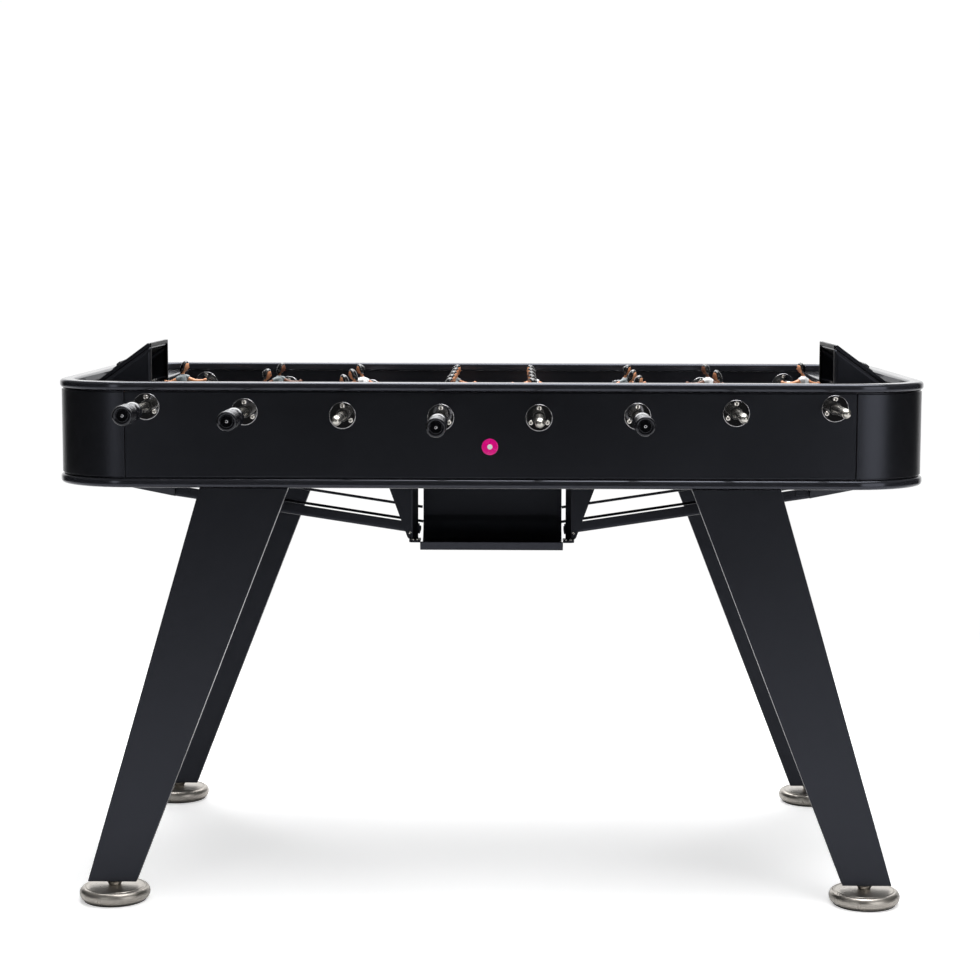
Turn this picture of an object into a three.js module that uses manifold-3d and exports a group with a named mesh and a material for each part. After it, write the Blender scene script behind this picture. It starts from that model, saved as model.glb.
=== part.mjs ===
// Foosball table with a rounded sheet-steel cabinet, eight rods and four splayed legs.
// Millimetres, +Z up. X runs along the pitch, -Y is the front. The origin is on the floor under the middle.

import * as THREE from 'three';
import { ConvexGeometry } from 'three/addons/geometries/ConvexGeometry.js';
import { mergeVertices } from 'three/addons/utils/BufferGeometryUtils.js';
import Module from 'manifold-3d';

const wasm = await Module();
wasm.setup();

// ---- driving dimensions ----
const LENGTH = 1506; // over the rims
const WIDTH = 750; // over the rims
const RIM_TOP = 900; // height of the top rim above the floor
const RIM_HEIGHT = 15;
const RAIL_BOTTOM = 720;
const RAIL_HEIGHT = 16;
const RIM_WIDTH = 26; // plan width of both rims
const RIM_ROUND = 4;
const SEAM_X = 620; // where the straight panels meet the rounded end panels
const PANEL_INSET = 3; // panels sit this far inside the rims' outer edge
const WALL = 20; // depth of the boxed wall panels
const SHEET = 2.5; // steel sheet thickness
const GAP = 0.3; // clearance between touching pieces
const CORNER_SEGMENTS = 6; // flats in each quarter round of the plan
const ROD_SIDES = 14;

const ROD_COUNT = 8;
const ROD_PITCH = 166.5;
const ROD_RADIUS = 8;
const ROD_LOW = 841; // axis height in the middle of the table
const PITCH_CURVE = 5.12e-5; // rise per square millimetre of X, a 9.8 m radius
const ROD_ABOVE_FIELD = 80;
const BALL_END_REACH = 510; // from the table's middle plane
const HANDLE_REACH = 602;
const HANDLE_LENGTH = 115;
const HANDLE_RADIUS = 16.5;
const HANDLE_RECESS = 12;
const BEARING_HOLE_RADIUS = 14;
const PLAYERS_ON_ROD = [1, 2, 3, 5, 5, 3, 2, 1];
const PLAYER_SPACING = { 1: 0, 2: 240, 3: 200, 5: 120 };
const FRONT_HANDLE = [true, true, false, true, false, true, false, false];

const FIELD_THICKNESS = 10;
const BALL_HOLE = { from: 628, to: 714, halfWidth: 88 };

const GOAL = {
  face: 619, // X of the plate that faces the pitch
  top: 956,
  footX: 724,
  slope: 0.7375, // fall per millimetre of X
  halfWidth: 102,
  mouthHalfWidth: 92,
  mouthTop: 949, // tall enough for the goalkeeper to swing through
  bottom: 789,
  wallBottom: 781.4, // the end wall of the pitch reaches down to the field
};

const LEG = {
  outerFace: 373, // |Y| of the face flush with the cabinet
  depth: 22,
  top: { inner: 343, outer: 494 },
  foot: { inner: 611, outer: 695.5 },
  bottom: 33.2,
  basePlate: 10,
};
const FOOT = { x: 650, studRadius: 6, studTop: 62, boreRadius: 7 };

const TRAY = { halfLength: 131, back: 60, lip: -90, bottom: 577, top: 748, bend: 50, lipHeight: 16 };
const CHUTE = {
  halfWidth: 33,
  wallHeight: 20, // the front wall; the rear one is low, with a rail above it
  rearWallHeight: 8,
  railHeight: 17,
  low: { x: 134, z: 600 },
  high: { x: 588, z: 669 },
  panEnd: { x: 724, z: 696 },
  panHalfWidth: 95,
  panTop: 766,
  sheet: 2,
  guardHeight: 48, // the wire's height over the channel's floor
  guardRadius: 2.6,
  hoopX: 160,
  wireOverhang: 30, // the wire runs this far past the hoop
};
const BRACKET = {
  face: -60,
  fold: 146.5, // the flange is folded back here, at an angle
  inner: 136,
  outerTop: 211,
  outerBottom: 154,
  bottom: 594,
  top: 748,
  flange: 18,
};

// ---- colours ----
const FINISH = {
  powderCoat: { color: 0x0d0d0f, roughness: 0.45, metalness: 0.3 },
  glossCoat: { color: 0x101012, roughness: 0.25, metalness: 0.3 },
  field: { color: 0x1a1b1d, roughness: 0.5, metalness: 0 },
  steelRod: { color: 0xb8b6b2, roughness: 0.25, metalness: 1 },
  footSteel: { color: 0x9a948b, roughness: 0.45, metalness: 0.9 },
  grip: { color: 0x0c0c0d, roughness: 0.3, metalness: 0 },
  greyShirt: { color: 0x8b8f90, roughness: 0.5, metalness: 0 },
  whiteShirt: { color: 0xe8e8e8, roughness: 0.5, metalness: 0 },
};

const table = new THREE.Group();

// ---- helpers ----
function solidOf(geometry) {
  const bare = geometry.clone();
  bare.deleteAttribute('normal');
  bare.deleteAttribute('uv');
  const merged = mergeVertices(bare, 1e-4);
  return new wasm.Manifold(
    new wasm.Mesh({
      numProp: 3,
      vertProperties: new Float32Array(merged.attributes.position.array),
      triVerts: new Uint32Array(merged.index.array),
    }),
  );
}

function geometryOf(solid) {
  const mesh = solid.getMesh();
  const geometry = new THREE.BufferGeometry();
  geometry.setAttribute('position', new THREE.BufferAttribute(new Float32Array(mesh.vertProperties), 3));
  geometry.setIndex(new THREE.BufferAttribute(new Uint32Array(mesh.triVerts), 1));
  geometry.computeVertexNormals();
  return geometry;
}

function addNode(name, geometry, finish, parent = table) {
  const mesh = new THREE.Mesh(geometry, new THREE.MeshStandardMaterial(finish));
  mesh.name = name;
  parent.add(mesh);
  return mesh;
}

// A closed outline from [a, b] points.
function outline(points) {
  return new THREE.Shape(points.map(([a, b]) => new THREE.Vector2(a, b)));
}

// A block from an outline in plan, standing from one height to another.
function upright(shape, from, to) {
  const geometry = new THREE.ExtrudeGeometry(shape, {
    depth: to - from,
    bevelEnabled: false,
    curveSegments: CORNER_SEGMENTS,
  });
  return geometry.translate(0, 0, from);
}

// A block from an outline in the X-Z plane, running from one Y to another.
function alongY(shape, from, to) {
  const geometry = new THREE.ExtrudeGeometry(shape, { depth: to - from, bevelEnabled: false });
  return geometry.rotateX(Math.PI / 2).translate(0, to, 0);
}

// A block from an outline in the Y-Z plane, running from one X to another.
function alongX(shape, from, to) {
  const geometry = new THREE.ExtrudeGeometry(shape, { depth: to - from, bevelEnabled: false });
  return geometry.rotateX(Math.PI / 2).rotateZ(Math.PI / 2).translate(from, 0, 0);
}

function block([x0, x1], [y0, y1], [z0, z1]) {
  const geometry = new THREE.BoxGeometry(x1 - x0, y1 - y0, z1 - z0);
  return geometry.translate((x0 + x1) / 2, (y0 + y1) / 2, (z0 + z1) / 2);
}

// A round bar between two points.
function bar(from, to, radius, sides) {
  const a = new THREE.Vector3(...from);
  const b = new THREE.Vector3(...to);
  const geometry = new THREE.CylinderGeometry(radius, radius, a.distanceTo(b), sides);
  const turn = new THREE.Quaternion().setFromUnitVectors(
    new THREE.Vector3(0, 1, 0),
    b.clone().sub(a).normalize(),
  );
  geometry.applyQuaternion(turn);
  const middle = a.add(b).multiplyScalar(0.5);
  return geometry.translate(middle.x, middle.y, middle.z);
}

// The rounded rectangle of the table in plan, set in from the rims' outer edge.
function planOutline(inset, path = new THREE.Shape()) {
  const x = LENGTH / 2 - inset;
  const y = WIDTH / 2 - inset;
  const r = LENGTH / 2 - SEAM_X - inset;
  path.moveTo(-x + r, -y);
  path.lineTo(x - r, -y);
  path.absarc(x - r, -y + r, r, -Math.PI / 2, 0, false);
  path.lineTo(x, y - r);
  path.absarc(x - r, y - r, r, 0, Math.PI / 2, false);
  path.lineTo(-x + r, y);
  path.absarc(-x + r, y - r, r, Math.PI / 2, Math.PI, false);
  path.lineTo(-x, -y + r);
  path.absarc(-x + r, -y + r, r, Math.PI, 1.5 * Math.PI, false);
  path.closePath();
  return path;
}

function fieldHeight(x) {
  return ROD_LOW - ROD_ABOVE_FIELD + PITCH_CURVE * x * x;
}

function rodX(index) {
  return (index - (ROD_COUNT - 1) / 2) * ROD_PITCH;
}

function rodZ(index) {
  return ROD_LOW + PITCH_CURVE * rodX(index) ** 2;
}

// A shape made for the +X side, turned over for the -X side.
function mirrorX(geometry) {
  const turned = geometry.clone().applyMatrix4(new THREE.Matrix4().makeScale(-1, 1, 1));
  const index = turned.index.array;
  for (let i = 0; i < index.length; i += 3) {
    [index[i + 1], index[i + 2]] = [index[i + 2], index[i + 1]];
  }
  turned.computeVertexNormals();
  return turned;
}

// ---- rims ----
function rimRing(bottom, height) {
  const ring = planOutline(0);
  ring.holes.push(planOutline(RIM_WIDTH, new THREE.Path()));
  const geometry = new THREE.ExtrudeGeometry(ring, {
    depth: height - 2 * RIM_ROUND,
    bevelEnabled: true,
    bevelThickness: RIM_ROUND,
    bevelSize: RIM_ROUND,
    bevelOffset: -RIM_ROUND,
    bevelSegments: 1,
    curveSegments: CORNER_SEGMENTS,
  });
  return geometry.translate(0, 0, bottom + RIM_ROUND);
}

function buildRims() {
  addNode('top_rim', rimRing(RIM_TOP - RIM_HEIGHT, RIM_HEIGHT), FINISH.glossCoat);
  addNode('bottom_rim', rimRing(RAIL_BOTTOM, RAIL_HEIGHT), FINISH.powderCoat);
}

// ---- wall panels: boxed sheet, open underneath where they stand on the bottom rim ----
const PANEL_BOTTOM = RAIL_BOTTOM + RAIL_HEIGHT + GAP;
const PANEL_TOP = RIM_TOP - RIM_HEIGHT - GAP;

function straightPanel(side) {
  const outer = side * (WIDTH / 2 - PANEL_INSET);
  const inner = outer - side * WALL;
  const [y0, y1] = [Math.min(outer, inner), Math.max(outer, inner)];
  const end = SEAM_X - GAP;
  let panel = solidOf(block([-end, end], [y0, y1], [PANEL_BOTTOM, PANEL_TOP]));
  const pocket = block(
    [-end + SHEET, end - SHEET],
    [y0 + SHEET, y1 - SHEET],
    [PANEL_BOTTOM - 1, PANEL_TOP - SHEET],
  );
  panel = panel.subtract(solidOf(pocket));
  for (let i = 0; i < ROD_COUNT; i += 1) {
    const hole = bar([rodX(i), y0 - 1, rodZ(i)], [rodX(i), y1 + 1, rodZ(i)], BEARING_HOLE_RADIUS, 10);
    panel = panel.subtract(solidOf(hole));
  }
  return geometryOf(panel);
}

function endPanel() {
  const shell = planOutline(PANEL_INSET);
  shell.holes.push(planOutline(PANEL_INSET + WALL, new THREE.Path()));
  const cavity = planOutline(PANEL_INSET + SHEET);
  cavity.holes.push(planOutline(PANEL_INSET + WALL - SHEET, new THREE.Path()));
  const wall = solidOf(upright(shell, PANEL_BOTTOM, PANEL_TOP));
  const hollow = solidOf(upright(cavity, PANEL_BOTTOM - 1, PANEL_TOP - SHEET));
  const reach = LENGTH / 2;
  const clip = block([SEAM_X, reach], [-WIDTH / 2, WIDTH / 2], [PANEL_BOTTOM - 2, PANEL_TOP + 1]);
  const inside = block(
    [SEAM_X + SHEET, reach],
    [-WIDTH / 2, WIDTH / 2],
    [PANEL_BOTTOM - 2, PANEL_TOP + 1],
  );
  return geometryOf(wall.intersect(solidOf(clip)).subtract(hollow.intersect(solidOf(inside))));
}

function buildPanels() {
  addNode('front_panel', straightPanel(-1), FINISH.powderCoat);
  addNode('rear_panel', straightPanel(1), FINISH.powderCoat);
  const end = endPanel();
  addNode('right_end_panel', end, FINISH.powderCoat);
  addNode('left_end_panel', mirrorX(end), FINISH.powderCoat);
}

// ---- playing field: a board that dips towards the middle, with a ball hole behind each goal ----
function buildField() {
  const steps = 20;
  const reach = LENGTH / 2;
  const along = Array.from({ length: steps + 1 }, (_, i) => -reach + (2 * reach * i) / steps);
  const upper = along.map((x) => [x, fieldHeight(x)]);
  const lower = along.map((x) => [x, fieldHeight(x) - FIELD_THICKNESS]);
  const slab = solidOf(alongY(outline([...lower, ...upper.reverse()]), -WIDTH / 2, WIDTH / 2));
  const plan = solidOf(upright(planOutline(PANEL_INSET + WALL + GAP), RAIL_BOTTOM, RIM_TOP));
  let board = slab.intersect(plan);
  for (const side of [-1, 1]) {
    const ends = [side * BALL_HOLE.from, side * BALL_HOLE.to].sort((a, b) => a - b);
    const hole = block(ends, [-BALL_HOLE.halfWidth, BALL_HOLE.halfWidth], [RAIL_BOTTOM, RIM_TOP]);
    board = board.subtract(solidOf(hole));
  }
  addNode('playing_field', geometryOf(board), FINISH.field);
}

// ---- goal housings: a folded hood over the goal mouth, on the deck and end wall behind the goal line ----
function endDeck() {
  const deckTop = PANEL_TOP;
  const inset = PANEL_INSET + WALL + GAP;
  const halfWidth = WIDTH / 2 - inset;
  const behind = block([GOAL.face, LENGTH / 2], [-WIDTH / 2, WIDTH / 2], [RAIL_BOTTOM, RIM_TOP]);
  const deck = solidOf(upright(planOutline(inset), deckTop - SHEET, deckTop)).intersect(solidOf(behind));
  const wall = block([GOAL.face, GOAL.face + SHEET], [-halfWidth, halfWidth], [GOAL.wallBottom, deckTop]);
  return deck.add(solidOf(wall));
}

function goalHousing() {
  const { face, top, footX, slope, halfWidth, mouthHalfWidth, mouthTop, bottom, wallBottom } = GOAL;
  const fold = 5; // flat at the apex
  const slopeZ = (x) => top - (x - face - fold) * slope;
  const skin = solidOf(
    alongY(
      outline([
        [face, bottom],
        [footX, bottom],
        [footX, slopeZ(footX)],
        [face + fold, top],
        [face, top],
      ]),
      -halfWidth,
      halfWidth,
    ),
  );
  const drop = SHEET * Math.hypot(1, slope);
  const cavity = solidOf(
    alongY(
      outline([
        [face + SHEET, bottom - 1],
        [footX + 1, bottom - 1],
        [footX + 1, slopeZ(footX + 1) - drop],
        [face + SHEET, slopeZ(face + SHEET + fold) - drop],
      ]),
      -halfWidth + SHEET,
      halfWidth - SHEET,
    ),
  );
  const mouth = block(
    [face - 1, face + SHEET + 1],
    [-mouthHalfWidth, mouthHalfWidth],
    [wallBottom - 1, mouthTop],
  );
  return geometryOf(skin.add(endDeck()).subtract(cavity).subtract(solidOf(mouth)));
}

function buildGoals() {
  const housing = goalHousing();
  addNode('right_goal_housing', housing, FINISH.powderCoat);
  addNode('left_goal_housing', mirrorX(housing), FINISH.powderCoat);
}

// ---- ball tray: one bent sheet, back plate, curved bottom and front lip ----
function buildTray() {
  const { halfLength, back, lip, bottom, top, bend, lipHeight } = TRAY;
  const arcSteps = 6;
  const arc = (radius) =>
    Array.from({ length: arcSteps + 1 }, (_, i) => {
      const angle = (-Math.PI / 2) * (i / arcSteps);
      return [back - bend + radius * Math.cos(angle), bottom + bend + radius * Math.sin(angle)];
    });
  const outer = [[back, top], ...arc(bend), [lip, bottom], [lip, bottom + lipHeight]];
  const inner = [
    [lip + SHEET, bottom + lipHeight],
    [lip + SHEET, bottom + SHEET],
    ...arc(bend - SHEET).reverse(),
    [back - SHEET, top],
  ];
  addNode('ball_tray', alongX(outline([...outer, ...inner]), -halfLength, halfLength), FINISH.powderCoat);
}

// ---- tray brackets: a tapered gusset with a slanting inner flange and a foot tab ----
function trayBracket() {
  const { face, fold, inner, outerTop, outerBottom, bottom, top, flange } = BRACKET;
  const gusset = solidOf(
    alongY(
      outline([
        [fold, bottom],
        [outerBottom, bottom],
        [outerTop, top],
        [fold, top],
      ]),
      face,
      face + SHEET,
    ),
  );
  const folded = outline([
    [fold, face],
    [fold + SHEET, face + SHEET],
    [inner + SHEET, face + flange],
    [inner, face + flange - 1],
  ]);
  const tab = solidOf(
    block([TRAY.halfLength + GAP, outerBottom - 2], [TRAY.lip + 12, face + flange + 4], [bottom - 4, bottom]),
  );
  return geometryOf(gusset.add(solidOf(upright(folded, bottom, top))).add(tab));
}

function buildBrackets() {
  const bracket = trayBracket();
  addNode('right_tray_bracket', bracket, FINISH.powderCoat);
  addNode('left_tray_bracket', mirrorX(bracket), FINISH.powderCoat);
}

// ---- ball chutes: a hopper under the goal's ball hole, an open channel, a rear rail and a guard wire over it ----
function chute() {
  const { halfWidth, wallHeight, rearWallHeight, railHeight, low, high, sheet, panTop } = CHUTE;
  const { guardHeight, guardRadius, hoopX, wireOverhang } = CHUTE;
  const fall = (high.z - low.z) / (high.x - low.x);
  const floorAt = (x) => low.z + (x - low.x) * fall;
  const channel = (bottomLift, topLift, [y0, y1], from, to) =>
    solidOf(
      alongY(
        outline([
          [from, floorAt(from) + bottomLift],
          [to, floorAt(to) + bottomLift],
          [to, floorAt(to) + topLift],
          [from, floorAt(from) + topLift],
        ]),
        y0,
        y1,
      ),
    );
  const inside = halfWidth - sheet;
  const trough = channel(0, wallHeight, [-halfWidth, halfWidth], low.x, high.x + 1);
  const aboveRearWall = channel(rearWallHeight, 1.5 * wallHeight, [inside - 1, halfWidth + 1], low.x - 1, high.x - 1);
  const inner = channel(sheet, 1.5 * wallHeight, [-inside, inside], low.x - 1, high.x + sheet + 1);
  const wire = (from, y, lift) =>
    solidOf(bar([from, y, floorAt(from) + lift], [high.x + 1, y, floorAt(high.x + 1) + lift], guardRadius, 6));
  const guard = wire(hoopX - wireOverhang, 0, guardHeight)
    .add(wire(hoopX - wireOverhang, halfWidth - guardRadius, railHeight))
    .add(hoop(hoopX, floorAt(hoopX)));
  const folded = trough.subtract(aboveRearWall).add(hopper(0, panTop));
  return geometryOf(folded.subtract(inner).subtract(hopper(sheet, panTop + 1)).add(guard));
}

// The hopper's block: as wide as the goal at the top, as narrow as the channel at the bottom.
function hopper(inset, top) {
  const { halfWidth, high, panEnd, panHalfWidth } = CHUTE;
  const corners = [];
  for (const side of [-1, 1]) {
    const lower = side * (halfWidth - inset);
    const upper = side * (panHalfWidth - inset);
    corners.push(
      new THREE.Vector3(high.x + inset, lower, high.z + inset),
      new THREE.Vector3(panEnd.x - inset, lower, panEnd.z + inset),
      new THREE.Vector3(high.x + inset, upper, top),
      new THREE.Vector3(panEnd.x - inset, upper, top),
    );
  }
  return solidOf(new ConvexGeometry(corners));
}

// An arch that carries the guard wire over the channel.
function hoop(x, floor) {
  const { halfWidth, guardHeight, guardRadius } = CHUTE;
  const y = halfWidth - 1;
  const top = floor + guardHeight;
  const post = (side) => bar([x, side * y, floor + 5], [x, side * y, top + 1.5], guardRadius, 6);
  const beam = bar([x, -y - 1, top], [x, y + 1, top], guardRadius, 6);
  return solidOf(post(-1)).add(solidOf(post(1))).add(solidOf(beam));
}

function buildChutes() {
  const shape = chute();
  addNode('right_ball_chute', shape, FINISH.powderCoat);
  addNode('left_ball_chute', mirrorX(shape), FINISH.powderCoat);
}

// ---- legs: tapered flat box section, open at the top, with a bored base plate ----
function legGeometry() {
  const { outerFace, depth, top, foot, bottom, basePlate } = LEG;
  const height = RAIL_BOTTOM - GAP;
  const edgeAt = (edge, z) => foot[edge] + ((top[edge] - foot[edge]) * (z - bottom)) / (RAIL_BOTTOM - bottom);
  const wall = (z0, z1, inset) => [
    [edgeAt('inner', z0) + inset, z0],
    [edgeAt('outer', z0) - inset, z0],
    [edgeAt('outer', z1) - inset, z1],
    [edgeAt('inner', z1) + inset, z1],
  ];
  const skin = solidOf(alongY(outline(wall(bottom, height, 0)), -outerFace, -outerFace + depth));
  const core = solidOf(
    alongY(
      outline(wall(bottom + basePlate, height + 1, SHEET * 1.1)),
      -outerFace + SHEET,
      -outerFace + depth - SHEET,
    ),
  );
  const y = -outerFace + depth / 2;
  const bore = solidOf(bar([FOOT.x, y, bottom - 1], [FOOT.x, y, bottom + basePlate + 1], FOOT.boreRadius, 12));
  return geometryOf(skin.subtract(core).subtract(bore));
}

// ---- feet: a bun on a threaded stud that screws into the leg ----
function footGeometry() {
  const profile = [
    [0, 0],
    [54, 0],
    [58, 3.5],
    [61, 10],
    [60.2, 17],
    [56, 22.5],
    [48, 24.5],
    [13.5, 26.5],
    [13.5, LEG.bottom - GAP],
    [FOOT.studRadius, LEG.bottom - GAP],
    [FOOT.studRadius, FOOT.studTop],
    [0, FOOT.studTop],
  ];
  const geometry = new THREE.LatheGeometry(
    profile.map(([r, z]) => new THREE.Vector2(r, z)),
    18,
  );
  return geometry.rotateX(Math.PI / 2);
}

function buildLegs() {
  const front = legGeometry();
  const foot = footGeometry();
  const footY = LEG.outerFace - LEG.depth / 2;
  for (const [end, sx] of [['left', -1], ['right', 1]]) {
    for (const [face, sy] of [['front', -1], ['rear', 1]]) {
      const sided = sx > 0 ? front : mirrorX(front);
      const leg = addNode(`${face}_${end}_leg`, sided, FINISH.powderCoat);
      if (sy > 0) leg.position.y = 2 * footY;
      const bun = addNode(`${face}_${end}_foot`, foot, FINISH.footSteel);
      bun.position.set(sx * FOOT.x, sy * footY, 0);
    }
  }
}

// ---- rods: a steel tube along Y, domed at one end and open inside the handle ----
function rodGeometry() {
  const bore = 5.5;
  const open = HANDLE_REACH - HANDLE_RECESS - 2;
  const profile = [
    [0, -BALL_END_REACH],
    [4.6, -BALL_END_REACH + 1.6],
    [ROD_RADIUS, -BALL_END_REACH + 7],
    [ROD_RADIUS, open],
    [bore, open],
    [bore, -BALL_END_REACH + 20],
    [0, -BALL_END_REACH + 20],
  ];
  return new THREE.LatheGeometry(
    profile.map(([r, y]) => new THREE.Vector2(r, y)),
    ROD_SIDES,
  );
}

// ---- handles: a turned grip with a recessed end, bored for the rod ----
function handleGeometry() {
  const bore = ROD_RADIUS + GAP;
  const inner = HANDLE_REACH - HANDLE_LENGTH;
  const outer = HANDLE_REACH;
  const profile = [
    [bore, inner],
    [12, inner],
    [HANDLE_RADIUS, inner + 6],
    [HANDLE_RADIUS - 2, inner + 40],
    [HANDLE_RADIUS, outer - 16],
    [HANDLE_RADIUS - 1, outer - 4],
    [12, outer],
    [bore, outer - HANDLE_RECESS],
    [bore, inner],
  ];
  return new THREE.LatheGeometry(
    profile.map(([r, y]) => new THREE.Vector2(r, y)),
    ROD_SIDES,
  );
}

// ---- players: one moulded figure clamped round the rod, facing +X, arms out fore and aft ----
const FIGURE = {
  torso: { bottom: -19, top: 37, shoulders: 11, hips: 13 },
  legs: { bottom: -66, top: -18, hips: 12, ankles: 8 },
  boots: { bottom: -74, top: -62, length: 15, width: 20, toe: 1 },
  head: { middle: 48, radius: 10.5 },
  reachArm: { shoulder: [4, 11, 28], fist: [37.5, 13, 25] },
  backArm: { shoulder: [-4, -11, 28], fist: [-30, -13, 22] },
  lean: { from: 9, slope: 0.25 }, // above the waist the figure leans forward
  armRadius: 4,
  boreHalfLength: 30,
};

function playerGeometry() {
  const { torso, legs, boots, head, reachArm, backArm, armRadius, lean, boreHalfLength } = FIGURE;
  const leaning = (geometry) => {
    const corners = geometry.getAttribute('position');
    for (let i = 0; i < corners.count; i++) {
      corners.setX(i, corners.getX(i) + lean.slope * Math.max(0, corners.getZ(i) - lean.from));
    }
    return geometry;
  };
  const prism = (upper, lower, bottom, top, [depth, width]) =>
    solidOf(
      leaning(
        new THREE.CylinderGeometry(upper, lower, top - bottom, 6, 2)
          .rotateX(Math.PI / 2)
          .rotateZ(Math.PI / 6)
          .scale(depth, width, 1)
          .translate(0, 0, (bottom + top) / 2),
      ),
    );
  const arm = ({ shoulder, fist }) => solidOf(leaning(bar(shoulder, fist, armRadius, 4)));
  const sole = block(
    [boots.toe - boots.length / 2, boots.toe + boots.length / 2],
    [-boots.width / 2, boots.width / 2],
    [boots.bottom, boots.top],
  );
  const skull = new THREE.SphereGeometry(head.radius, 7, 5).scale(1, 0.9, 1.25).translate(0, 0, head.middle);
  const figure = prism(torso.shoulders, torso.hips, torso.bottom, torso.top, [1, 1.15])
    .add(prism(legs.hips, legs.ankles, legs.bottom, legs.top, [0.85, 1.1]))
    .add(solidOf(sole))
    .add(solidOf(leaning(skull)))
    .add(arm(reachArm))
    .add(arm(backArm));
  const bore = bar([0, -boreHalfLength, 0], [0, boreHalfLength, 0], ROD_RADIUS + 1, 8);
  return geometryOf(figure.subtract(solidOf(bore)));
}

function buildRods() {
  const rod = rodGeometry();
  const handle = handleGeometry();
  const player = playerGeometry();
  for (let i = 0; i < ROD_COUNT; i += 1) {
    const line = new THREE.Group();
    line.position.set(rodX(i), 0, rodZ(i));
    table.add(line);
    const front = FRONT_HANDLE[i];
    const turned = new THREE.Group();
    turned.rotation.z = front ? Math.PI : 0;
    line.add(turned);
    addNode(`rod_${i + 1}`, rod, FINISH.steelRod, turned);
    addNode(`handle_${i + 1}`, handle, FINISH.grip, turned);
    const count = PLAYERS_ON_ROD[i];
    for (let p = 0; p < count; p += 1) {
      const finish = front ? FINISH.greyShirt : FINISH.whiteShirt;
      const figure = addNode(`player_${i + 1}_${p + 1}`, player, finish, line);
      figure.position.y = (p - (count - 1) / 2) * PLAYER_SPACING[count];
      figure.rotation.z = front ? 0 : Math.PI;
    }
  }
}

buildRims();
buildPanels();
buildField();
buildGoals();
buildTray();
buildBrackets();
buildChutes();
buildLegs();
buildRods();

export default table;
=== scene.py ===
import math

import bmesh
import bpy
from bpy.props import FloatProperty, FloatVectorProperty, PointerProperty
from mathutils import Matrix, Vector
from mathutils.geometry import tessellate_polygon


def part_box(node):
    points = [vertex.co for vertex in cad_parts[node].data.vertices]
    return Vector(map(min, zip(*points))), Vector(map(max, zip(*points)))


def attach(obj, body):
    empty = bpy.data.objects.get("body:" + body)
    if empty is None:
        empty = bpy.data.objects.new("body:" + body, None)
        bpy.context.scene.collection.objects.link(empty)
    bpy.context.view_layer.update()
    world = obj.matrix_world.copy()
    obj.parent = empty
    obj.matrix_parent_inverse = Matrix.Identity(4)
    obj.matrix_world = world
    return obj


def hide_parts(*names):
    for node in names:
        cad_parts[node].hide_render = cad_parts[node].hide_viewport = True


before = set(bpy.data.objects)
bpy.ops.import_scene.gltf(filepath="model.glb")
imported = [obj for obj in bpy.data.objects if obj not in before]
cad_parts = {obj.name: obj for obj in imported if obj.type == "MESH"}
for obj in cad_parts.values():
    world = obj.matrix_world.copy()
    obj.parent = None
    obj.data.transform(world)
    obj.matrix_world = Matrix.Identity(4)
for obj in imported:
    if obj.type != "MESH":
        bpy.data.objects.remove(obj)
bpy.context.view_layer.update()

bl_info = {
    "name": "Foosball table", "version": (1, 0, 0), "blender": (4, 5, 0),
    "location": "3D View > Sidebar > Foosball",
    "description": "Builds the visible pieces of a steel foosball table around its packed frame",
    "category": "Mesh",
}

# ---------------------------------------------------------------- places taken from the frame
MM = 0.001
RIM_LOW, RIM_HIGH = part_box("top_rim")
RAIL_LOW, RAIL_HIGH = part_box("bottom_rim")
PANEL_LOW, PANEL_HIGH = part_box("front_panel")
FIELD_LOW, FIELD_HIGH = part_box("playing_field")
GOAL_LOW, GOAL_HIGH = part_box("right_goal_housing")
TRAY_LOW, TRAY_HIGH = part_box("ball_tray")
BRACKET_LOW, BRACKET_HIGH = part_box("right_tray_bracket")
CHUTE_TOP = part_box("right_ball_chute")[1].z
LEG_LOW, LEG_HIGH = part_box("front_right_leg")

HALF_LENGTH = RIM_HIGH.x
HALF_WIDTH = RIM_HIGH.y
PANEL_INSET = HALF_WIDTH + PANEL_LOW.y
WALL = PANEL_HIGH.y - PANEL_LOW.y
SEAM_X = PANEL_HIGH.x + 0.3 * MM
CORNER = HALF_LENGTH - SEAM_X
INNER_FACE = HALF_WIDTH - PANEL_INSET - WALL
OUTER_FACE = HALF_WIDTH - PANEL_INSET

ROD_COUNT = 8
ROD_RADIUS = (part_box("rod_1")[1].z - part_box("rod_1")[0].z) / 2
FACES = (("front", -1), ("rear", 1))


def rod_centre(number):
    low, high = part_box(f"rod_{number}")
    middle = (low + high) / 2
    return Vector((middle.x, 0, middle.z))


def handle_side(number):
    low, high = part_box(f"handle_{number}")
    return -1 if low.y + high.y < 0 else 1


RODS = [rod_centre(n) for n in range(1, ROD_COUNT + 1)]
DIP = (RODS[7].z - RODS[4].z) / (RODS[7].x ** 2 - RODS[4].x ** 2)
FIELD_MIDDLE = FIELD_LOW.z + 10 * MM


def field_height(x):
    return FIELD_MIDDLE + DIP * x * x


# ---------------------------------------------------------------- sizes and colours a user may change
def length(name, description, default):
    return FloatProperty(
        name=name, description=description, default=default, min=0.0, precision=4, unit="LENGTH",
    )


def colour(name, description, default):
    return FloatVectorProperty(
        name=name, description=description, default=default, min=0.0, max=1.0, size=3, subtype="COLOR",
    )


class CabinetSizes(bpy.types.PropertyGroup):
    """Sizes of the cabinet's sheet metal"""

    sheet: length("Sheet", "Thickness of the folded steel sheet", 2.5 * MM)
    edge: length("Edge", "Round on the sheet's cut edges", 0.7 * MM)
    rim_round: length("Rim round", "Round on the long edges of both rims", 6.2 * MM)
    groove: length("Groove", "Height and depth of the shadow groove beside the rims", 2.4 * MM)
    seam: length("Seam", "Gap where the rounded ends meet the straight panels", 1.6 * MM)
    badge: length("Badge", "Diameter of the round badge", 28 * MM)


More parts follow.
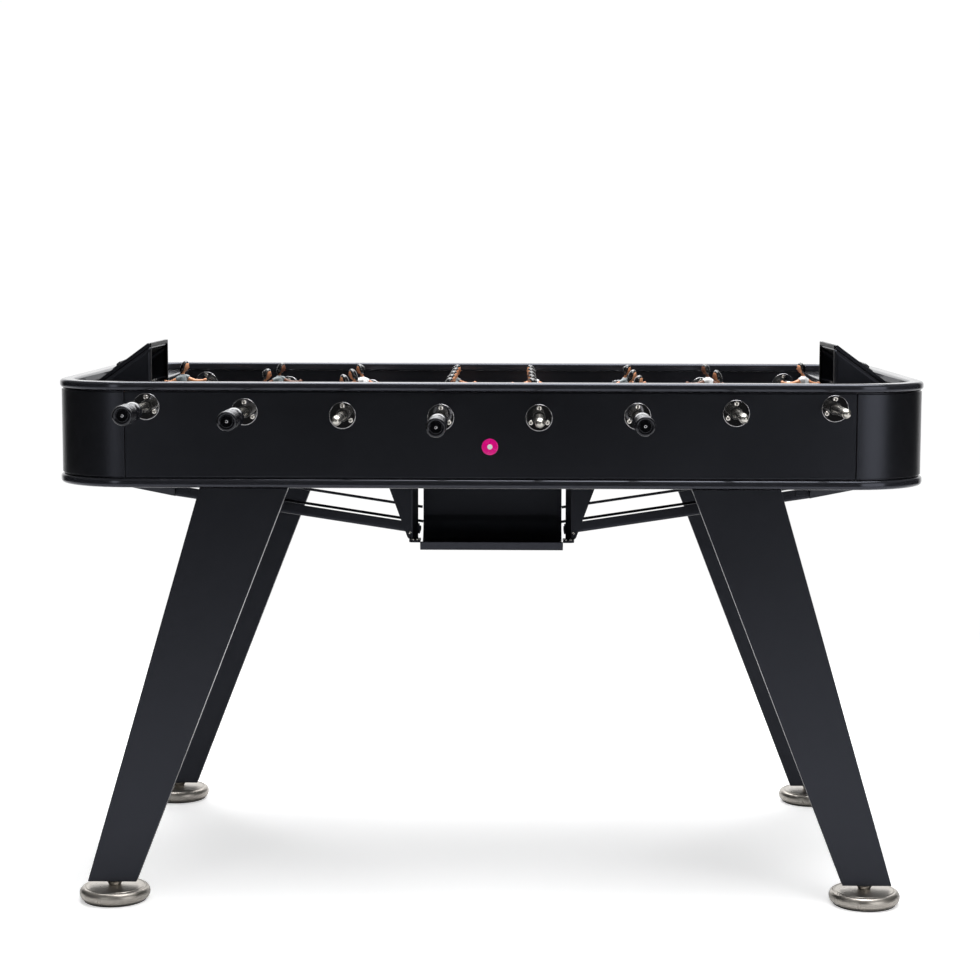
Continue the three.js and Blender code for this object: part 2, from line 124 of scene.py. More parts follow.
class RodSizes(bpy.types.PropertyGroup):
    """Sizes of the rods and their bearings"""

    plate: length("Bearing plate", "Diameter of a bearing plate", 46 * MM)
    screw_circle: length("Screw circle", "Radius that the plate's screws stand on", 16.4 * MM)
    screw: length("Screw head", "Diameter of a screw head", 8.6 * MM)
    buffer: length("Buffer", "Length of the rubber buffer on a rod", 10 * MM)


class FinishColours(bpy.types.PropertyGroup):
    """Colours of the finishes"""

    powder: colour("Powder coat", "Satin black of the cabinet and legs", (0.0058, 0.006, 0.0072))
    rim: colour("Rim coat", "Glossier black of the two rims", (0.019, 0.0195, 0.0235))
    field: colour("Field", "Laminate of the playing field", (0.022, 0.026, 0.028))
    marking: colour("Markings", "Lines of the playing field", (0.62, 0.63, 0.62))
    steel: colour("Rod steel", "Ground steel of the rods", (0.56, 0.54, 0.5))
    mirror: colour("Bearing plates", "Polished steel of the bearing plates", (0.5, 0.5, 0.52))
    bright: colour("Screws", "Plated steel of the screws", (0.78, 0.75, 0.7))
    foot: colour("Foot steel", "Blasted nickel of the feet", (0.47, 0.44, 0.4))
    grip: colour("Grip", "Glossy black of the handles", (0.005, 0.005, 0.0065))
    rubber: colour("Rubber", "Rubber of the buffers and foot pads", (0.008, 0.008, 0.008))
    badge: colour("Badge", "Enamel of the round badge", (0.85, 0.003, 0.26))
    counter: colour("Counters", "Score counters", (0.02, 0.02, 0.024))
    grey_shirt: colour("Grey shirt", "Shirt of the grey team", (0.2, 0.23, 0.24))
    white_shirt: colour("White shirt", "Shirt of the white team", (0.82, 0.82, 0.83))
    hair: colour("Hair", "Lacquered hair of the players", (0.0035, 0.0035, 0.005))
    fair: colour("Fair skin", "Lightest of the players' skins", (0.72, 0.33, 0.17))
    tan: colour("Tan skin", "Middle one of the players' skins", (0.5, 0.2, 0.09))
    brown: colour("Brown skin", "Darkest of the players' skins", (0.17, 0.06, 0.027))


class StageSettings(bpy.types.PropertyGroup):
    """Camera and lights of the studio"""

    eye: FloatVectorProperty(
        name="Camera place", description="Where the camera stands", default=(0.04508, -4.05895, 1.10279),
        size=3, subtype="TRANSLATION", unit="LENGTH",
    )
    turn: FloatProperty(
        name="Turn", description="Camera's turn to the right", default=math.radians(-0.6943),
        unit="ROTATION",
    )
    tilt: FloatProperty(
        name="Tilt", description="Camera's tilt downwards", default=math.radians(5.9551), unit="ROTATION",
    )
    roll: FloatProperty(
        name="Roll", description="Camera's roll", default=math.radians(0.1462), unit="ROTATION",
    )
    lens: FloatProperty(name="Lens", description="Focal length in millimetres", default=80.21, min=1.0)
    key: FloatProperty(
        name="Overhead light", description="Power of the overhead softbox", default=150, unit="POWER",
    )
    side: FloatProperty(
        name="Side lights", description="Power of the side softboxes", default=11, unit="POWER",
    )
    back: FloatProperty(
        name="Back light", description="Power of the rear softbox", default=60, unit="POWER",
    )


# ---------------------------------------------------------------- outlines and mesh building
def arc_corner(before, corner, after, radius, steps):
    """Points of the round that replaces a sharp corner."""
    toward = (before - corner).normalized()
    away = (after - corner).normalized()
    half = toward.angle(away) / 2
    centre = corner + (toward + away).normalized() * (radius / math.sin(half))
    reach = radius / math.tan(half)
    first = (corner + toward * reach - centre).normalized()
    last = (corner + away * reach - centre).normalized()
    return [centre + first.slerp(last, i / steps) * radius for i in range(steps + 1)]


def rounded(corners, closed=True, steps=6):
    """An outline or path from corners in millimetres, whose last number is the corner's radius."""
    points = [Vector(corner[:-1]) * MM for corner in corners]
    count = len(points)
    out = []
    for i, corner in enumerate(corners):
        radius = corner[-1] * MM
        if radius > 0 and (closed or 0 < i < count - 1):
            out += arc_corner(points[i - 1], points[i], points[(i + 1) % count], radius, steps)
        else:
            out.append(points[i])
    return out


def thickened(path, thickness):
    """The closed outline of a bent sheet whose middle line is an open path."""
    normals = []
    for i, point in enumerate(path):
        before = path[max(i - 1, 0)]
        after = path[min(i + 1, len(path) - 1)]
        along = (after - before).normalized()
        normals.append(Vector((-along.y, along.x)))
    half = thickness / 2
    left = [p + n * half for p, n in zip(path, normals)]
    right = [p - n * half for p, n in zip(path, normals)]
    return left + right[::-1]


PLANES = {"x": lambda a, b, t: (t, a, b), "y": lambda a, b, t: (a, t, b), "z": lambda a, b, t: (a, b, t)}


def slab(bm, outline, axis, start, end, holes=(), place=Matrix()):
    """A flat plate: an outline carried along one axis, with holes."""
    loops = [list(outline), *map(list, holes)]
    layers = []
    for t in (start, end):
        layers.append(
            [[bm.verts.new(place @ Vector(PLANES[axis](p[0], p[1], t))) for p in loop] for loop in loops]
        )
    for near, far in zip(*layers):
        for i in range(len(near)):
            j = (i + 1) % len(near)
            bm.faces.new((near[i], near[j], far[j], far[i]))
    for layer in layers:
        corners = [vert for loop in layer for vert in loop]
        if holes:
            flat = [[Vector((p[0], p[1], 0)) for p in loop] for loop in loops]
            for triangle in tessellate_polygon(flat):
                bm.faces.new([corners[k] for k in triangle])
        else:
            bm.faces.new(corners)


def hexagon_reach(turn):
    """Distance from the middle to a hexagon's edge, with its corners at 1."""
    sector = math.pi / 3
    return math.cos(sector / 2) / math.cos(turn % sector - sector / 2)


def lathe(bm, profile, sides, place=Matrix(), closed=False, material=0):
    """Turns (radius, height) points in millimetres about Z. A third entry makes that ring a hexagon."""
    rings = []
    for radius, height, *hexagonal in profile:
        if radius == 0:
            rings.append([bm.verts.new(place @ Vector((0, 0, height * MM)))])
            continue
        ring = []
        for i in range(sides):
            turn = math.tau * i / sides
            reach = radius * MM * (hexagon_reach(turn) if hexagonal else 1)
            point = Vector((reach * math.cos(turn), reach * math.sin(turn), height * MM))
            ring.append(bm.verts.new(place @ point))
        rings.append(ring)
    pairs = list(zip(rings, rings[1:]))
    if closed:
        pairs.append((rings[-1], rings[0]))
    for low, high in pairs:
        for i in range(sides):
            j = (i + 1) % sides
            corners = [low[i % len(low)], low[j % len(low)], high[j % len(high)], high[i % len(high)]]
            corners = list(dict.fromkeys(corners))
            if len(corners) > 2:
                bm.faces.new(corners).material_index = material


def plan_path(inset, steps):
    """The cabinet's rounded outline in plan, set in from the rims' outer edge."""
    radius = CORNER - inset
    corners = ((1, -1, -90), (1, 1, 0), (-1, 1, 90), (-1, -1, 180))
    points = []
    for side_x, side_y, start in corners:
        for i in range(steps + 1):
            turn = math.radians(start + 90 * i / steps)
            points.append(
                (
                    side_x * (HALF_LENGTH - CORNER) + radius * math.cos(turn),
                    side_y * (HALF_WIDTH - CORNER) + radius * math.sin(turn),
                )
            )
    return points


def end_path(inset, steps, gap=0.0):
    """The part of the outline round the +X end, from the front seam to the rear seam."""
    arcs = plan_path(inset, steps)[: 2 * steps + 2]
    y = HALF_WIDTH - inset
    return [(SEAM_X + gap, -y), *arcs[1:-1], (SEAM_X + gap, y)]


def sweep(bm, profile, path_at, closed):
    """Carries a closed profile of (inset, height) points along the plan."""
    loops = [[bm.verts.new((x, y, height)) for x, y in path_at(inset)] for inset, height in profile]
    count = len(loops[0])
    for k, loop in enumerate(loops):
        after = loops[(k + 1) % len(loops)]
        for i in range(count if closed else count - 1):
            j = (i + 1) % count
            bm.faces.new((loop[i], loop[j], after[j], after[i]))
    if not closed:
        bm.faces.new([loop[0] for loop in loops])
        bm.faces.new([loop[-1] for loop in loops])


def folded_sheet(bm, near, far, near_inside, far_inside):
    """A sheet given by the rows of points along its two long edges, on its outside and its inside."""
    pairs = ((near, far), (near_inside, far_inside), (near, near_inside), (far, far_inside))
    for i in range(len(near) - 1):
        for a, b in pairs:
            bm.faces.new((a[i], a[i + 1], b[i + 1], b[i]))
    for i in (0, -1):
        bm.faces.new((near[i], far[i], far_inside[i], near_inside[i]))


def mirrored(bm):
    """The same shape on the other end of the table."""
    other = bm.copy()
    bmesh.ops.scale(other, vec=(-1, 1, 1), verts=other.verts)
    return other


def facing(side):
    """Turns a shape that points up so that it points out of the front (-1) or the rear (1), -Y up."""
    upright = Matrix.Rotation(math.pi if side < 0 else 0, 4, "Z")
    return Matrix.Rotation(-side * math.pi / 2, 4, "X") @ upright


def new_object(name, data):
    made = bpy.data.objects.new(name, data)
    bpy.context.scene.collection.objects.link(made)
    return made


SHARP_CORNER = math.radians(40)


def finished_mesh(name, bm, materials, bevel=0.0, segments=2, crease=32):
    """Closes the drawing: outward faces, bevelled edges, even shading and materials."""
    bmesh.ops.recalc_face_normals(bm, faces=bm.faces)
    for face in bm.faces:
        face.smooth = True
    mesh = bpy.data.meshes.new(name)
    bm.to_mesh(mesh)
    bm.free()
    for material in materials:
        mesh.materials.append(material)
    draft = new_object(name + "_draft", mesh)
    if bevel > 0:
        edge = draft.modifiers.new("edges", "BEVEL")
        edge.width = bevel
        edge.segments = segments
        edge.limit_method = "ANGLE"
        edge.angle_limit = SHARP_CORNER
        edge.harden_normals = True
    else:
        mesh.set_sharp_from_angle(angle=math.radians(crease))
    draft.modifiers.new("even_shading", "WEIGHTED_NORMAL").keep_sharp = True
    graph = bpy.context.evaluated_depsgraph_get()
    final = bpy.data.meshes.new_from_object(draft.evaluated_get(graph), depsgraph=graph)
    final.name = name
    bpy.data.objects.remove(draft)
    bpy.data.meshes.remove(mesh)
    return final


def turned_mesh(name, profile, look, sides, crease, closed=False):
    """A finished mesh turned about Z from one profile."""
    bm = bmesh.new()
    lathe(bm, profile, sides, closed=closed)
    return finished_mesh(name, bm, [FINISHES[look]], crease=crease)


def put(name, mesh, body, slot, *replaced, place=Matrix()):
    """Places a finished mesh on its body and hides the CAD nodes it stands for. The slot is not used."""
    piece = new_object(name, mesh)
    piece.matrix_world = place
    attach(piece, body)
    if replaced:
        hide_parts(*replaced)


def put_at_both_ends(kind, shape, looks, slot, replaced="", **finishing):
    """Places a cabinet piece at the right end and its mirror image at the left end."""
    for end, bm in (("left", mirrored(shape)), ("right", shape)):
        name = f"{end}_{kind}"
        mesh = finished_mesh(name, bm, [FINISHES[look] for look in looks.split()], **finishing)
        put(name, mesh, "cabinet", slot, *([f"{end}_{replaced}"] if replaced else []))


def wire(bm, path, radius, sides=12):
    """A bent round bar along a path."""
    sections = []
    for i, point in enumerate(path):
        along = (path[min(i + 1, len(path) - 1)] - path[max(i - 1, 0)]).normalized()
        side = along.cross(Vector((0.3, 0.9, 0.1))).normalized()
        if abs(along.y) > 0.8:
            side = along.cross(Vector((0, 0, 1))).normalized()
        sections.append((point, side * radius, along.cross(side).normalized() * radius))
    loft(bm, sections, sides)


def loft(bm, sections, sides, material=0):
    """A skin over oval sections, each a centre and two half axes."""
    rings = []
    for centre, across, up in sections:
        turns = [math.tau * i / sides for i in range(sides)]
        rings.append([bm.verts.new(centre + across * math.cos(t) + up * math.sin(t)) for t in turns])
    for low, high in zip(rings, rings[1:]):
        for i in range(sides):
            j = (i + 1) % sides
            bm.faces.new((low[i], low[j], high[j], high[i])).material_index = material
    for cap in (rings[0], rings[-1]):
        bm.faces.new(cap).material_index = material


def screw(bm, centre, turned, head, material=0):
    """A button-head screw with a hexagon socket, pointing where the matrix turns it."""
    r = head / 2
    profile = [
        (0, 0.9), (0.46 * r, 0.9, True), (0.46 * r, 2.5, True), (0.56 * r, 2.65), (0.76 * r, 2.3),
        (0.92 * r, 1.5), (r, 0.5), (r, -0.6), (0, -0.6),
    ]
    lathe(bm, profile, 24, Matrix.Translation(centre) @ turned, material=material)


# ---------------------------------------------------------------- finishes
def fill(tree, node, inputs):
    """Sets a node's inputs to values, or links them from sockets."""
    for socket, value in inputs.items():
        if isinstance(value, bpy.types.NodeSocket):
            tree.links.new(value, node.inputs[socket])
        else:
            node.inputs[socket].default_value = value


def add(tree, kind, inputs=None, **settings):
    """Adds a node; inputs are values or the sockets to link from."""
    node = tree.nodes.new("ShaderNode" + kind)
    for key, value in settings.items():
        setattr(node, key, value)
    fill(tree, node, inputs or {})
    return node


def first(tree, kind, inputs=None, **settings):
    """The first output of a new node."""
    return add(tree, kind, inputs, **settings).outputs[0]


def new_group(name, inputs, outputs):
    """An empty shader node group with named sockets."""
    tree = bpy.data.node_groups.new(name, "ShaderNodeTree")
    for direction, sockets in (("INPUT", inputs), ("OUTPUT", outputs)):
        for label, kind, *default in sockets:
            socket = tree.interface.new_socket(name=label, in_out=direction, socket_type=kind)
            if default:
                socket.default_value = default[0]
    return tree, tree.nodes.new("NodeGroupInput").outputs, tree.nodes.new("NodeGroupOutput").inputs


def make_grain_group():
    """Fine grain of a coat or a blasted face, stretched where the finish is ground or combed."""
    tree, given, result = new_group(
        "surface_grain",
        [("Scale", "NodeSocketFloat", 900.0), ("Stretch", "NodeSocketVector", (1.0, 1.0, 1.0))],
        [("Height", "NodeSocketFloat"), ("Mask", "NodeSocketFloat")],
    )
    place = add(tree, "TexCoord").outputs["Object"]
    stretched = first(tree, "VectorMath", {0: place, 1: given["Stretch"]}, operation="MULTIPLY")
    fine = first(
        tree, "TexNoise", {"Vector": stretched, "Scale": given["Scale"], "Detail": 3.0, "Roughness": 0.5},
    )
    patch_scale = first(tree, "Math", {0: given["Scale"], 1: 0.06}, operation="MULTIPLY")
    patch = first(tree, "TexNoise", {"Vector": stretched, "Scale": patch_scale, "Detail": 4.0})
    tree.links.new(fine, result["Height"])
    tree.links.new(patch, result["Mask"])


def make_marks_group():
    """Handling marks: soft patches where hands have changed the gloss."""
    tree, given, result = new_group(
        "handling_marks",
        [
            ("Scale", "NodeSocketFloat", 9.0), ("Least rough", "NodeSocketFloat", 0.3),
            ("Most rough", "NodeSocketFloat", 0.45),
        ],
        [("Roughness", "NodeSocketFloat")],
    )
    place = add(tree, "TexCoord").outputs["Object"]
    cloud = first(
        tree, "TexNoise",
        {"Vector": place, "Scale": given["Scale"], "Detail": 5.0, "Roughness": 0.62, "Distortion": 0.4},
    )
    spread = first(
        tree, "MapRange",
        {
            "Value": cloud, "From Min": 0.32, "From Max": 0.68, "To Min": given["Least rough"],
            "To Max": given["Most rough"],
        },
        interpolation_type="SMOOTHSTEP",
    )
    tree.links.new(spread, result["Roughness"])


def make_dust_group():
    """A thin settling of dust on faces that look up."""
    tree, given, result = new_group(
        "settled_dust", [("Amount", "NodeSocketFloat", 0.1), ("Scale", "NodeSocketFloat", 25.0)],
        [("Mask", "NodeSocketFloat")],
    )
    normal = add(tree, "NewGeometry").outputs["Normal"]
    upward = add(tree, "SeparateXYZ", {0: normal}).outputs["Z"]
    facing_up = first(tree, "MapRange", {"Value": upward, "From Min": 0.55, "From Max": 1.0})
    place = add(tree, "TexCoord").outputs["Object"]
    specks = first(tree, "TexNoise", {"Vector": place, "Scale": given["Scale"], "Detail": 8.0})
    patchy = first(tree, "Math", {0: facing_up, 1: specks}, operation="MULTIPLY")
    amount = first(tree, "Math", {0: patchy, 1: given["Amount"]}, operation="MULTIPLY")
    tree.links.new(amount, result["Mask"])


DUST_COLOUR = (0.35, 0.34, 0.33, 1)


def finish(
    name, base, rough, grain, stretch=(1, 1, 1), depth=0.02, tint=0.12, metallic=0.0, dust=0.0, marks=9.0,
    coat=0.0, gleam=(1, 1, 1),
):
    """One finish: a shaded base colour, handling marks in the gloss, grain in the surface and dust on top."""
    material = bpy.data.materials.new(name)
    material.use_nodes = True
    tree = material.node_tree
    groups = bpy.data.node_groups
    grain_inputs = {"Scale": grain, "Stretch": stretch}
    surface = add(tree, "Group", grain_inputs, node_tree=groups["surface_grain"])
    gloss_inputs = {"Scale": marks, "Least rough": rough[0], "Most rough": rough[1]}
    gloss = add(tree, "Group", gloss_inputs, node_tree=groups["handling_marks"])
    settled = add(tree, "Group", {"Amount": dust}, node_tree=groups["settled_dust"])
    darker = (*[c * (1 - tint) for c in base], 1)
    lighter = (*[min(1, c * (1 + tint)) for c in base], 1)
    shaded = add(
        tree, "Mix", {0: surface.outputs["Mask"], 6: darker, 7: lighter}, data_type="RGBA",
    ).outputs[2]
    dusted = add(
        tree, "Mix", {0: settled.outputs["Mask"], 6: shaded, 7: DUST_COLOUR}, data_type="RGBA",
    ).outputs[2]
    relief = first(
        tree, "Bump", {"Height": surface.outputs["Height"], "Strength": depth, "Distance": 1 * MM},
    )
    shader = {
        "Metallic": metallic, "Coat Weight": coat, "Coat Roughness": 0.08, "Specular Tint": (*gleam, 1),
        "Base Color": dusted, "Roughness": gloss.outputs["Roughness"], "Normal": relief,
    }
    fill(tree, tree.nodes["Principled BSDF"], shader)
    return material


FINISHES = {}


class FOOSBALL_OT_finishes(bpy.types.Operator):
    """Make the shared node groups and every finish"""

    bl_idname = "foosball.finishes"
    bl_label = "Finishes"

    def execute(self, context):
        make_grain_group()
        make_marks_group()
        make_dust_group()
        c = context.scene.foosball_colours
        FINISHES.update(
            powder=finish(
                "powder_coat", c.powder, (0.28, 0.31), 1500, depth=0.1, dust=0.006, marks=6,
                gleam=(0.74, 0.78, 0.94),
            ),
            rim=finish(
                "rim_coat", c.rim, (0.12, 0.15), 1100, depth=0.03, dust=0.006, marks=7,
                gleam=(0.8, 0.84, 1),
            ),
            # Near-black matt finish with dimmed reflections: painted shade, put on the goal's front plate in
            # place of the dark inside of the hood's mouth.
            lining=finish(
                "matt_lining", c.rubber, (0.5, 0.6), 1500, depth=0.1, marks=12, gleam=(0.3, 0.3, 0.34),
            ),
            field=finish("field_laminate", c.field, (0.32, 0.42), 700, depth=0.05, tint=0.2, dust=0.03),
            marking=finish("field_markings", c.marking, (0.35, 0.45), 700, depth=0.03, dust=0.02),
            steel=finish(
                "rod_steel", c.steel, (0.18, 0.28), 500, stretch=(1, 7, 1), depth=0.12, metallic=1,
                marks=30,
            ),
            mirror=finish(
                "bearing_mirror", c.mirror, (0.03, 0.07), 300, depth=0.01, metallic=1, tint=0.03,
                marks=60,
            ),
            bright=finish("screw_plating", c.bright, (0.16, 0.26), 900, depth=0.05, metallic=1, marks=90),
            foot=finish(
                "foot_nickel", c.foot, (0.27, 0.36), 2600, depth=0.16, metallic=1, dust=0.03, marks=25,
            ),
            grip=finish(
                "grip_black", c.grip, (0.09, 0.15), 600, depth=0.02, marks=40, gleam=(0.8, 0.82, 0.9),
            ),
            nylon=finish("bush_nylon", c.rubber, (0.3, 0.4), 900, depth=0.06, marks=60),
            rubber=finish(
                "rubber_black", c.rubber, (0.6, 0.8), 1400, depth=0.2, tint=0.25, marks=40, dust=0.05,
            ),
            badge=finish(
                "badge_enamel", c.badge, (0.2, 0.3), 600, depth=0.02, tint=0.04, marks=60, coat=0.4,
            ),
            badge_dot=finish("badge_white", c.white_shirt, (0.2, 0.3), 600, depth=0.02, tint=0.03),
            counter=finish("counter_black", c.counter, (0.25, 0.35), 900, depth=0.05, marks=60),
            hair=finish(
                "hair_lacquer", c.hair, (0.07, 0.13), 380, stretch=(1, 1, 0.25), depth=0.12, marks=160,
                coat=0.6,
            ),
            eye=finish("eye_paint", (0.01, 0.006, 0.004), (0.2, 0.3), 900, depth=0.01),
            lips=finish("lip_paint", (0.42, 0.06, 0.045), (0.3, 0.4), 900, depth=0.02),
            boots=finish("boot_paint", (0.012, 0.012, 0.013), (0.3, 0.42), 900, depth=0.08, marks=120),
        )
        for tone in ("fair", "tan", "brown"):
            FINISHES[tone] = finish(
                f"skin_{tone}", getattr(c, tone), (0.36, 0.48), 1200, depth=0.05, tint=0.1, marks=150,
            )
        for team in ("grey", "white"):
            shirt = getattr(c, f"{team}_shirt")
            FINISHES[team] = finish(
                f"shirt_{team}", shirt, (0.4, 0.52), 1600, depth=0.12, tint=0.1, marks=120,
            )
        return {"FINISHED"}


# ---------------------------------------------------------------- cabinet
def rim_profile(low, high, width, radius):
    """A rounded bar as (inset, height) points."""
    corners = [
        (0, low, radius), (0, high, radius), (width, high, radius * 0.8), (width, low, radius * 0.5),
    ]
    return rounded([[v / MM for v in corner] for corner in corners], steps=7)


def wall_profile(groove, low, high):
    """The wall's section: its outer sheet stops short of the rims to leave a shadow groove."""
    face = PANEL_INSET
    back = PANEL_INSET + WALL
    return [
        (face, low + groove), (face, high - groove), (face + groove, high - groove),
        (face + groove, high), (back, high), (back, low), (face + groove, low),
        (face + groove, low + groove),
    ]


class FOOSBALL_OT_rims(bpy.types.Operator):
    """Sweep the rounded top and bottom rims round the cabinet"""

    bl_idname = "foosball.rims"
    bl_label = "Rims"

    def execute(self, context):
        sizes = context.scene.foosball_cabinet
        width = HALF_WIDTH - INNER_FACE + 3 * MM
        for name, low, high in (("top_rim", RIM_LOW, RIM_HIGH), ("bottom_rim", RAIL_LOW, RAIL_HIGH)):
            bm = bmesh.new()
            sweep(
                bm, rim_profile(low.z, high.z, width, sizes.rim_round), lambda i: plan_path(i, 32), True,
            )
            mesh = finished_mesh(name + "_bar", bm, [FINISHES["rim"]], crease=40)
            put(name + "_bar", mesh, "cabinet", "rim_coat", name)
        return {"FINISHED"}


class FOOSBALL_OT_walls(bpy.types.Operator):
    """Fold the straight and the rounded wall panels"""

    bl_idname = "foosball.walls"
    bl_label = "Walls"

    def execute(self, context):
        sizes = context.scene.foosball_cabinet
        profile = wall_profile(sizes.groove, PANEL_LOW.z, PANEL_HIGH.z)
        for face, side in FACES:
            bm = bmesh.new()
            outline = [(side * (HALF_WIDTH - inset), height) for inset, height in profile]
            end = SEAM_X - sizes.seam / 2
            slab(bm, outline, "x", -end, end)
            self.bore(bm, face, side)
            mesh = finished_mesh(f"{face}_wall", bm, [FINISHES["powder"]], bevel=sizes.edge)
            put(f"{face}_wall", mesh, "cabinet", "powder_coat", f"{face}_panel")
        bm = bmesh.new()
        sweep(bm, profile, lambda inset: end_path(inset, 28, sizes.seam / 2), False)
        for side in (-1, 1):
            self.tongue(bm, side, sizes)
        put_at_both_ends("wall", bm, "powder", "powder_coat", "end_panel", bevel=sizes.edge)
        return {"FINISHED"}

    @staticmethod
    def tongue(bm, side, sizes):
        """The strip behind the seam that joins the end to the straight wall."""
        start = SEAM_X - sizes.seam / 2 + 0.1 * MM
        end = SEAM_X + sizes.seam
        outer = side * (OUTER_FACE - 5 * MM)
        inner = side * (INNER_FACE + 4 * MM)
        outline = [(start, outer), (end, outer), (end, inner), (start, inner)]
        slab(bm, outline, "z", PANEL_LOW.z + 1 * MM, PANEL_HIGH.z - 1 * MM)

    @staticmethod
    def bore(bm, face, side):
        """Cuts the eight bearing holes through the wall."""
        mesh = bpy.data.meshes.new("wall_blank")
        bmesh.ops.recalc_face_normals(bm, faces=bm.faces)
        bm.to_mesh(mesh)
        blank = new_object("wall_blank", mesh)
        cutter_bm = bmesh.new()
        radius = 14
        reach = 30
        drill = [(0, 0), (radius, 0), (radius, reach), (0, reach)]
        for rod in RODS:
            centre = Matrix.Translation((rod.x, side * (INNER_FACE - 5 * MM), rod.z))
            lathe(cutter_bm, drill, 32, centre @ facing(side))
        bmesh.ops.recalc_face_normals(cutter_bm, faces=cutter_bm.faces)
        cutter_mesh = bpy.data.meshes.new("wall_cutter")
        cutter_bm.to_mesh(cutter_mesh)
        cutter_bm.free()
        cutter = new_object("wall_cutter", cutter_mesh)
        cut = blank.modifiers.new("holes", "BOOLEAN")
        cut.object = cutter
        cut.operation = "DIFFERENCE"
        cut.solver = "EXACT"
        graph = bpy.context.evaluated_depsgraph_get()
        result = bpy.data.meshes.new_from_object(blank.evaluated_get(graph), depsgraph=graph)
        bm.clear()
        bm.from_mesh(result)
        for item in (blank, cutter):
            bpy.data.objects.remove(item)
        for item in (mesh, cutter_mesh, result):
            bpy.data.meshes.remove(item)


SHELL_GAP = 0.3 * MM


def inner_half_width(x):
    """Half the width inside the walls at x, less where the corners are round."""
    inset = PANEL_INSET + WALL + SHELL_GAP
    radius = CORNER - inset
    past = abs(x) - (HALF_LENGTH - CORNER)
    if past <= 0:
        return HALF_WIDTH - inset
    return HALF_WIDTH - CORNER + math.sqrt(max(radius * radius - past * past, 0))


class FOOSBALL_OT_field(bpy.types.Operator):
    """Lay the dipped playing field and its markings"""

    bl_idname = "foosball.field"
    bl_label = "Playing field"

    def execute(self, context):
        self.board()
        self.markings()
        return {"FINISHED"}

    @staticmethod
    def board():
        reach = FIELD_HIGH.x
        hole_start = 628 * MM
        hole_end = 714 * MM
        hole_half = 88 * MM
        turns = [math.radians(90 * i / 14) for i in range(15)]
        straight = HALF_LENGTH - CORNER
        rounds = [straight + (reach - straight) * math.sin(t) for t in turns]
        steps = sorted({*[straight * i / 24 for i in range(24)], *rounds, hole_start, hole_end})
        along = [-x for x in steps[:0:-1]] + steps
        bm = bmesh.new()
        rows = []
        for x in along:
            half = max(inner_half_width(x), hole_half + 1 * MM)
            across = (-half, -hole_half, hole_half, half)
            rows.append([bm.verts.new((x, y, field_height(x))) for y in across])
        for a, b in zip(rows, rows[1:]):
            middle = abs(a[0].co.x + b[0].co.x) / 2
            for k in range(3):
                if k == 1 and hole_start < middle < hole_end:
                    continue
                bm.faces.new((a[k], a[k + 1], b[k + 1], b[k]))
        geometry = bmesh.ops.extrude_face_region(bm, geom=bm.faces[:])["geom"]
        lower = [item for item in geometry if isinstance(item, bmesh.types.BMVert)]
        bmesh.ops.translate(bm, vec=(0, 0, -10 * MM), verts=lower)
        mesh = finished_mesh("field_board", bm, [FINISHES["field"]], bevel=0.5 * MM)
        put("field_board", mesh, "cabinet", "field_laminate", "playing_field")

    def markings(self):
        bm = bmesh.new()
        line = 3 * MM
        goal_line = 600 * MM
        side_line = 335 * MM
        self.strip(bm, [(0, -side_line), (0, side_line)], line)
        x, y = goal_line, side_line
        self.strip(bm, [(-x, -y), (x, -y), (x, y), (-x, y), (-x, -y)], line)
        radius = 95 * MM
        turns = [math.tau * i / 64 for i in range(65)]
        self.strip(bm, [(radius * math.cos(t), radius * math.sin(t)) for t in turns], line)
        penalty_area = (210 * MM, 190 * MM)
        goal_area = (90 * MM, 125 * MM)
        for side in (-1, 1):
            for depth, half in (penalty_area, goal_area):
                edge = side * goal_line
                inner = side * (goal_line - depth)
                self.strip(bm, [(edge, -half), (inner, -half), (inner, half), (edge, half)], line)
        mesh = finished_mesh("field_markings", bm, [FINISHES["marking"]])
        put("field_markings", mesh, "cabinet", "field_laminate")

    @staticmethod
    def strip(bm, corners, width):
        """A flat line laid over the dipped field, in short lengths so that it follows the dip."""
        thick = 0.25 * MM
        for (x0, y0), (x1, y1) in zip(corners, corners[1:]):
            start, end = Vector((x0, y0)), Vector((x1, y1))
            along = (end - start).normalized()
            across = Vector((-along.y, along.x)) * width / 2
            start, end = start - along * width / 2, end + along * width / 2
            count = max(1, math.ceil(abs(end.x - start.x) / (40 * MM)))
            rows = []
            for i in range(count + 1):
                p = start.lerp(end, i / count)
                left, right = p - across, p + across
                corner_lifts = ((left, -thick), (left, thick), (right, thick), (right, -thick))
                rows.append(
                    [bm.verts.new((q.x, q.y, field_height(q.x) + lift)) for q, lift in corner_lifts]
                )
            for a, b in zip(rows, rows[1:]):
                for k in range(4):
                    m = (k + 1) % 4
                    bm.faces.new((a[k], a[m], b[m], b[k]))
            bm.faces.new(rows[0])
            bm.faces.new(rows[-1])


# ---------------------------------------------------------------- goals
GOAL_SLOPE = 0.7375
GOAL_HALF = 101.9
GOAL_FOOT = 724
GOAL_BOTTOM = 789
COVER_HALF = 98.2
COVER_THICKNESS = 6.2


